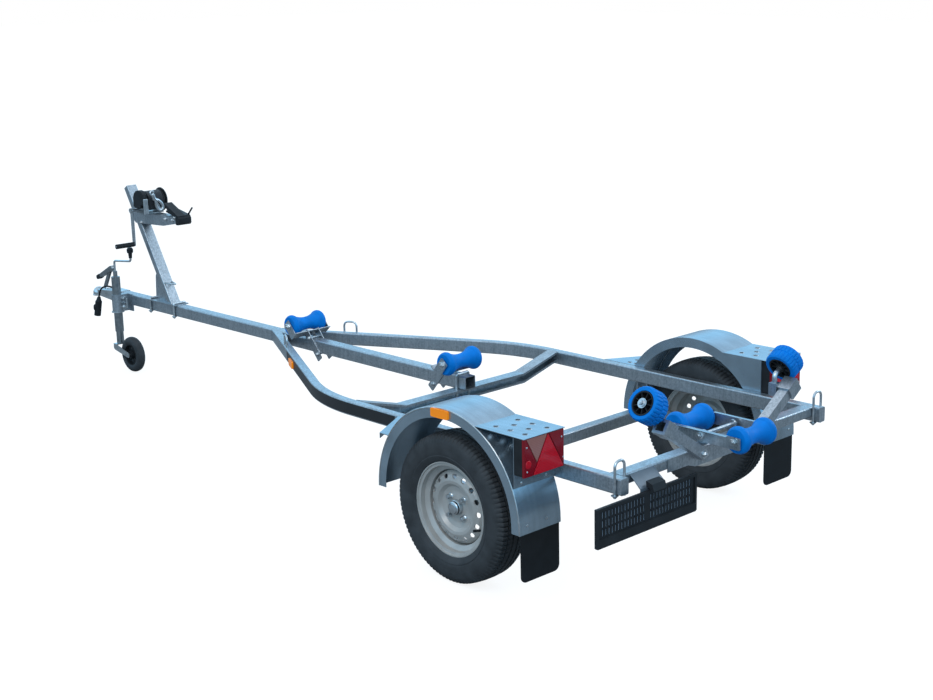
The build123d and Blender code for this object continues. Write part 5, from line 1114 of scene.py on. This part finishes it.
class TRAILER_OT_stage(bpy.types.Operator):
    """Set the camera, the floor and the studio light"""

    bl_idname = "trailer.stage"
    bl_label = "Stage"

    def execute(self, context):
        scene = context.scene
        scene.view_settings.view_transform = "Standard"
        camera = placed("camera", bpy.data.cameras.new("camera"))
        camera.data.lens = CAMERA_LENS
        camera.data.sensor_width = 36
        rotation = Matrix((CAMERA_RIGHT, CAMERA_UP, CAMERA_BACK)).transposed()
        camera.matrix_world = Matrix.Translation(CAMERA_AT) @ rotation.to_4x4()
        scene.camera = camera

        world = bpy.data.worlds.new("studio")
        world.use_nodes = True
        scene.world = world
        tree = world.node_tree
        way = node(tree, "ShaderNodeTexCoord").outputs["Generated"]
        up = node(tree, "ShaderNodeSeparateXYZ", {"Vector": way}).outputs["Z"]
        sky = node(tree, "ShaderNodeBackground", {"Color": ramp(tree, up, SKY_STOPS), "Strength": SKY_STRENGTH})
        white = tree.nodes["Background"]
        white.inputs["Color"].default_value = (1, 1, 1, 1)
        seen, _ = seen_directly(tree)
        inputs = {0: seen, 1: sky.outputs["Background"], 2: white.outputs["Background"]}
        both = node(tree, "ShaderNodeMixShader", inputs)
        tree.links.new(both.outputs["Shader"], tree.nodes["World Output"].inputs["Surface"])

        for name, place, aim, size, power, colour in LAMPS:
            lamp = placed(name, bpy.data.lights.new(name, "AREA"))
            lamp.data.size = size
            lamp.data.energy = power
            lamp.data.color = colour
            lamp.location = place
            lamp.rotation_euler = (Vector(place) - Vector(aim)).to_track_quat("Z", "Y").to_euler()

        floor_mesh = bpy.data.meshes.new("floor")
        corners = [(x * FLOOR_REACH, y * FLOOR_REACH, 0) for x, y in ((-1, -1), (1, -1), (1, 1), (-1, 1))]
        floor_mesh.from_pydata(corners, [], [(0, 1, 2, 3)])
        floor = placed("floor", floor_mesh)
        floor.location.z = -0.0005
        material, tree, shader = new_material("pale_floor")
        shade(shader, Base_Color=(FLOOR_TONE, FLOOR_TONE, FLOOR_TONE, 1), Roughness=0.9, Specular_IOR_Level=0.1)
        seen, rays = seen_directly(tree)
        mirrored = combined(tree, "MULTIPLY", rays.outputs["Is Glossy Ray"], FLOOR_MIRRORED)
        seen = combined(tree, "MAXIMUM", seen, mirrored)
        glow = node(tree, "ShaderNodeEmission", {"Color": (1, 1, 1, 1), "Strength": FLOOR_GLOW})
        both = node(tree, "ShaderNodeAddShader", {0: shader.outputs["BSDF"], 1: glow.outputs["Emission"]})
        mix = node(tree, "ShaderNodeMixShader", {0: seen, 1: shader.outputs["BSDF"], 2: both.outputs["Shader"]})
        tree.links.new(mix.outputs["Shader"], tree.nodes["Material Output"].inputs["Surface"])
        floor.data.materials.append(material)
        return {"FINISHED"}


OPERATORS = (
    TRAILER_OT_finishes,
    TRAILER_OT_tyres,
    TRAILER_OT_wheel_fittings,
    TRAILER_OT_side_rollers,
    TRAILER_OT_guard_trim,
    TRAILER_OT_tail_lamps,
    TRAILER_OT_plate,
    TRAILER_OT_cradle_flanges,
    TRAILER_OT_winch_details,
    TRAILER_OT_nose_details,
    TRAILER_OT_fasteners,
    TRAILER_OT_cords,
    TRAILER_OT_stage,
)


class TRAILER_PT_dressing(bpy.types.Panel):
    """The trailer's pieces and settings"""

    bl_label = "Trailer"
    bl_idname = "TRAILER_PT_dressing"
    bl_space_type = "VIEW_3D"
    bl_region_type = "UI"
    bl_category = "Trailer"

    def draw(self, context):
        for group in (context.scene.trailer_finish, context.scene.trailer_shape):
            for key in group.bl_rna.properties.keys():
                if key not in ("rna_type", "name"):
                    self.layout.prop(group, key)
        for operator in OPERATORS:
            self.layout.operator(operator.bl_idname)


CLASSES = (TrailerFinish, TrailerShape, *OPERATORS, TRAILER_PT_dressing)


def register():
    for each in CLASSES:
        bpy.utils.register_class(each)
    bpy.types.Scene.trailer_finish = PointerProperty(type=TrailerFinish)
    bpy.types.Scene.trailer_shape = PointerProperty(type=TrailerShape)


def unregister():
    del bpy.types.Scene.trailer_finish
    del bpy.types.Scene.trailer_shape
    for each in reversed(CLASSES):
        bpy.utils.unregister_class(each)


def main():
    register()
    for operator in OPERATORS:
        group, name = operator.bl_idname.split(".")
        getattr(getattr(bpy.ops, group), name)()


if __name__ == "__main__":
    main()
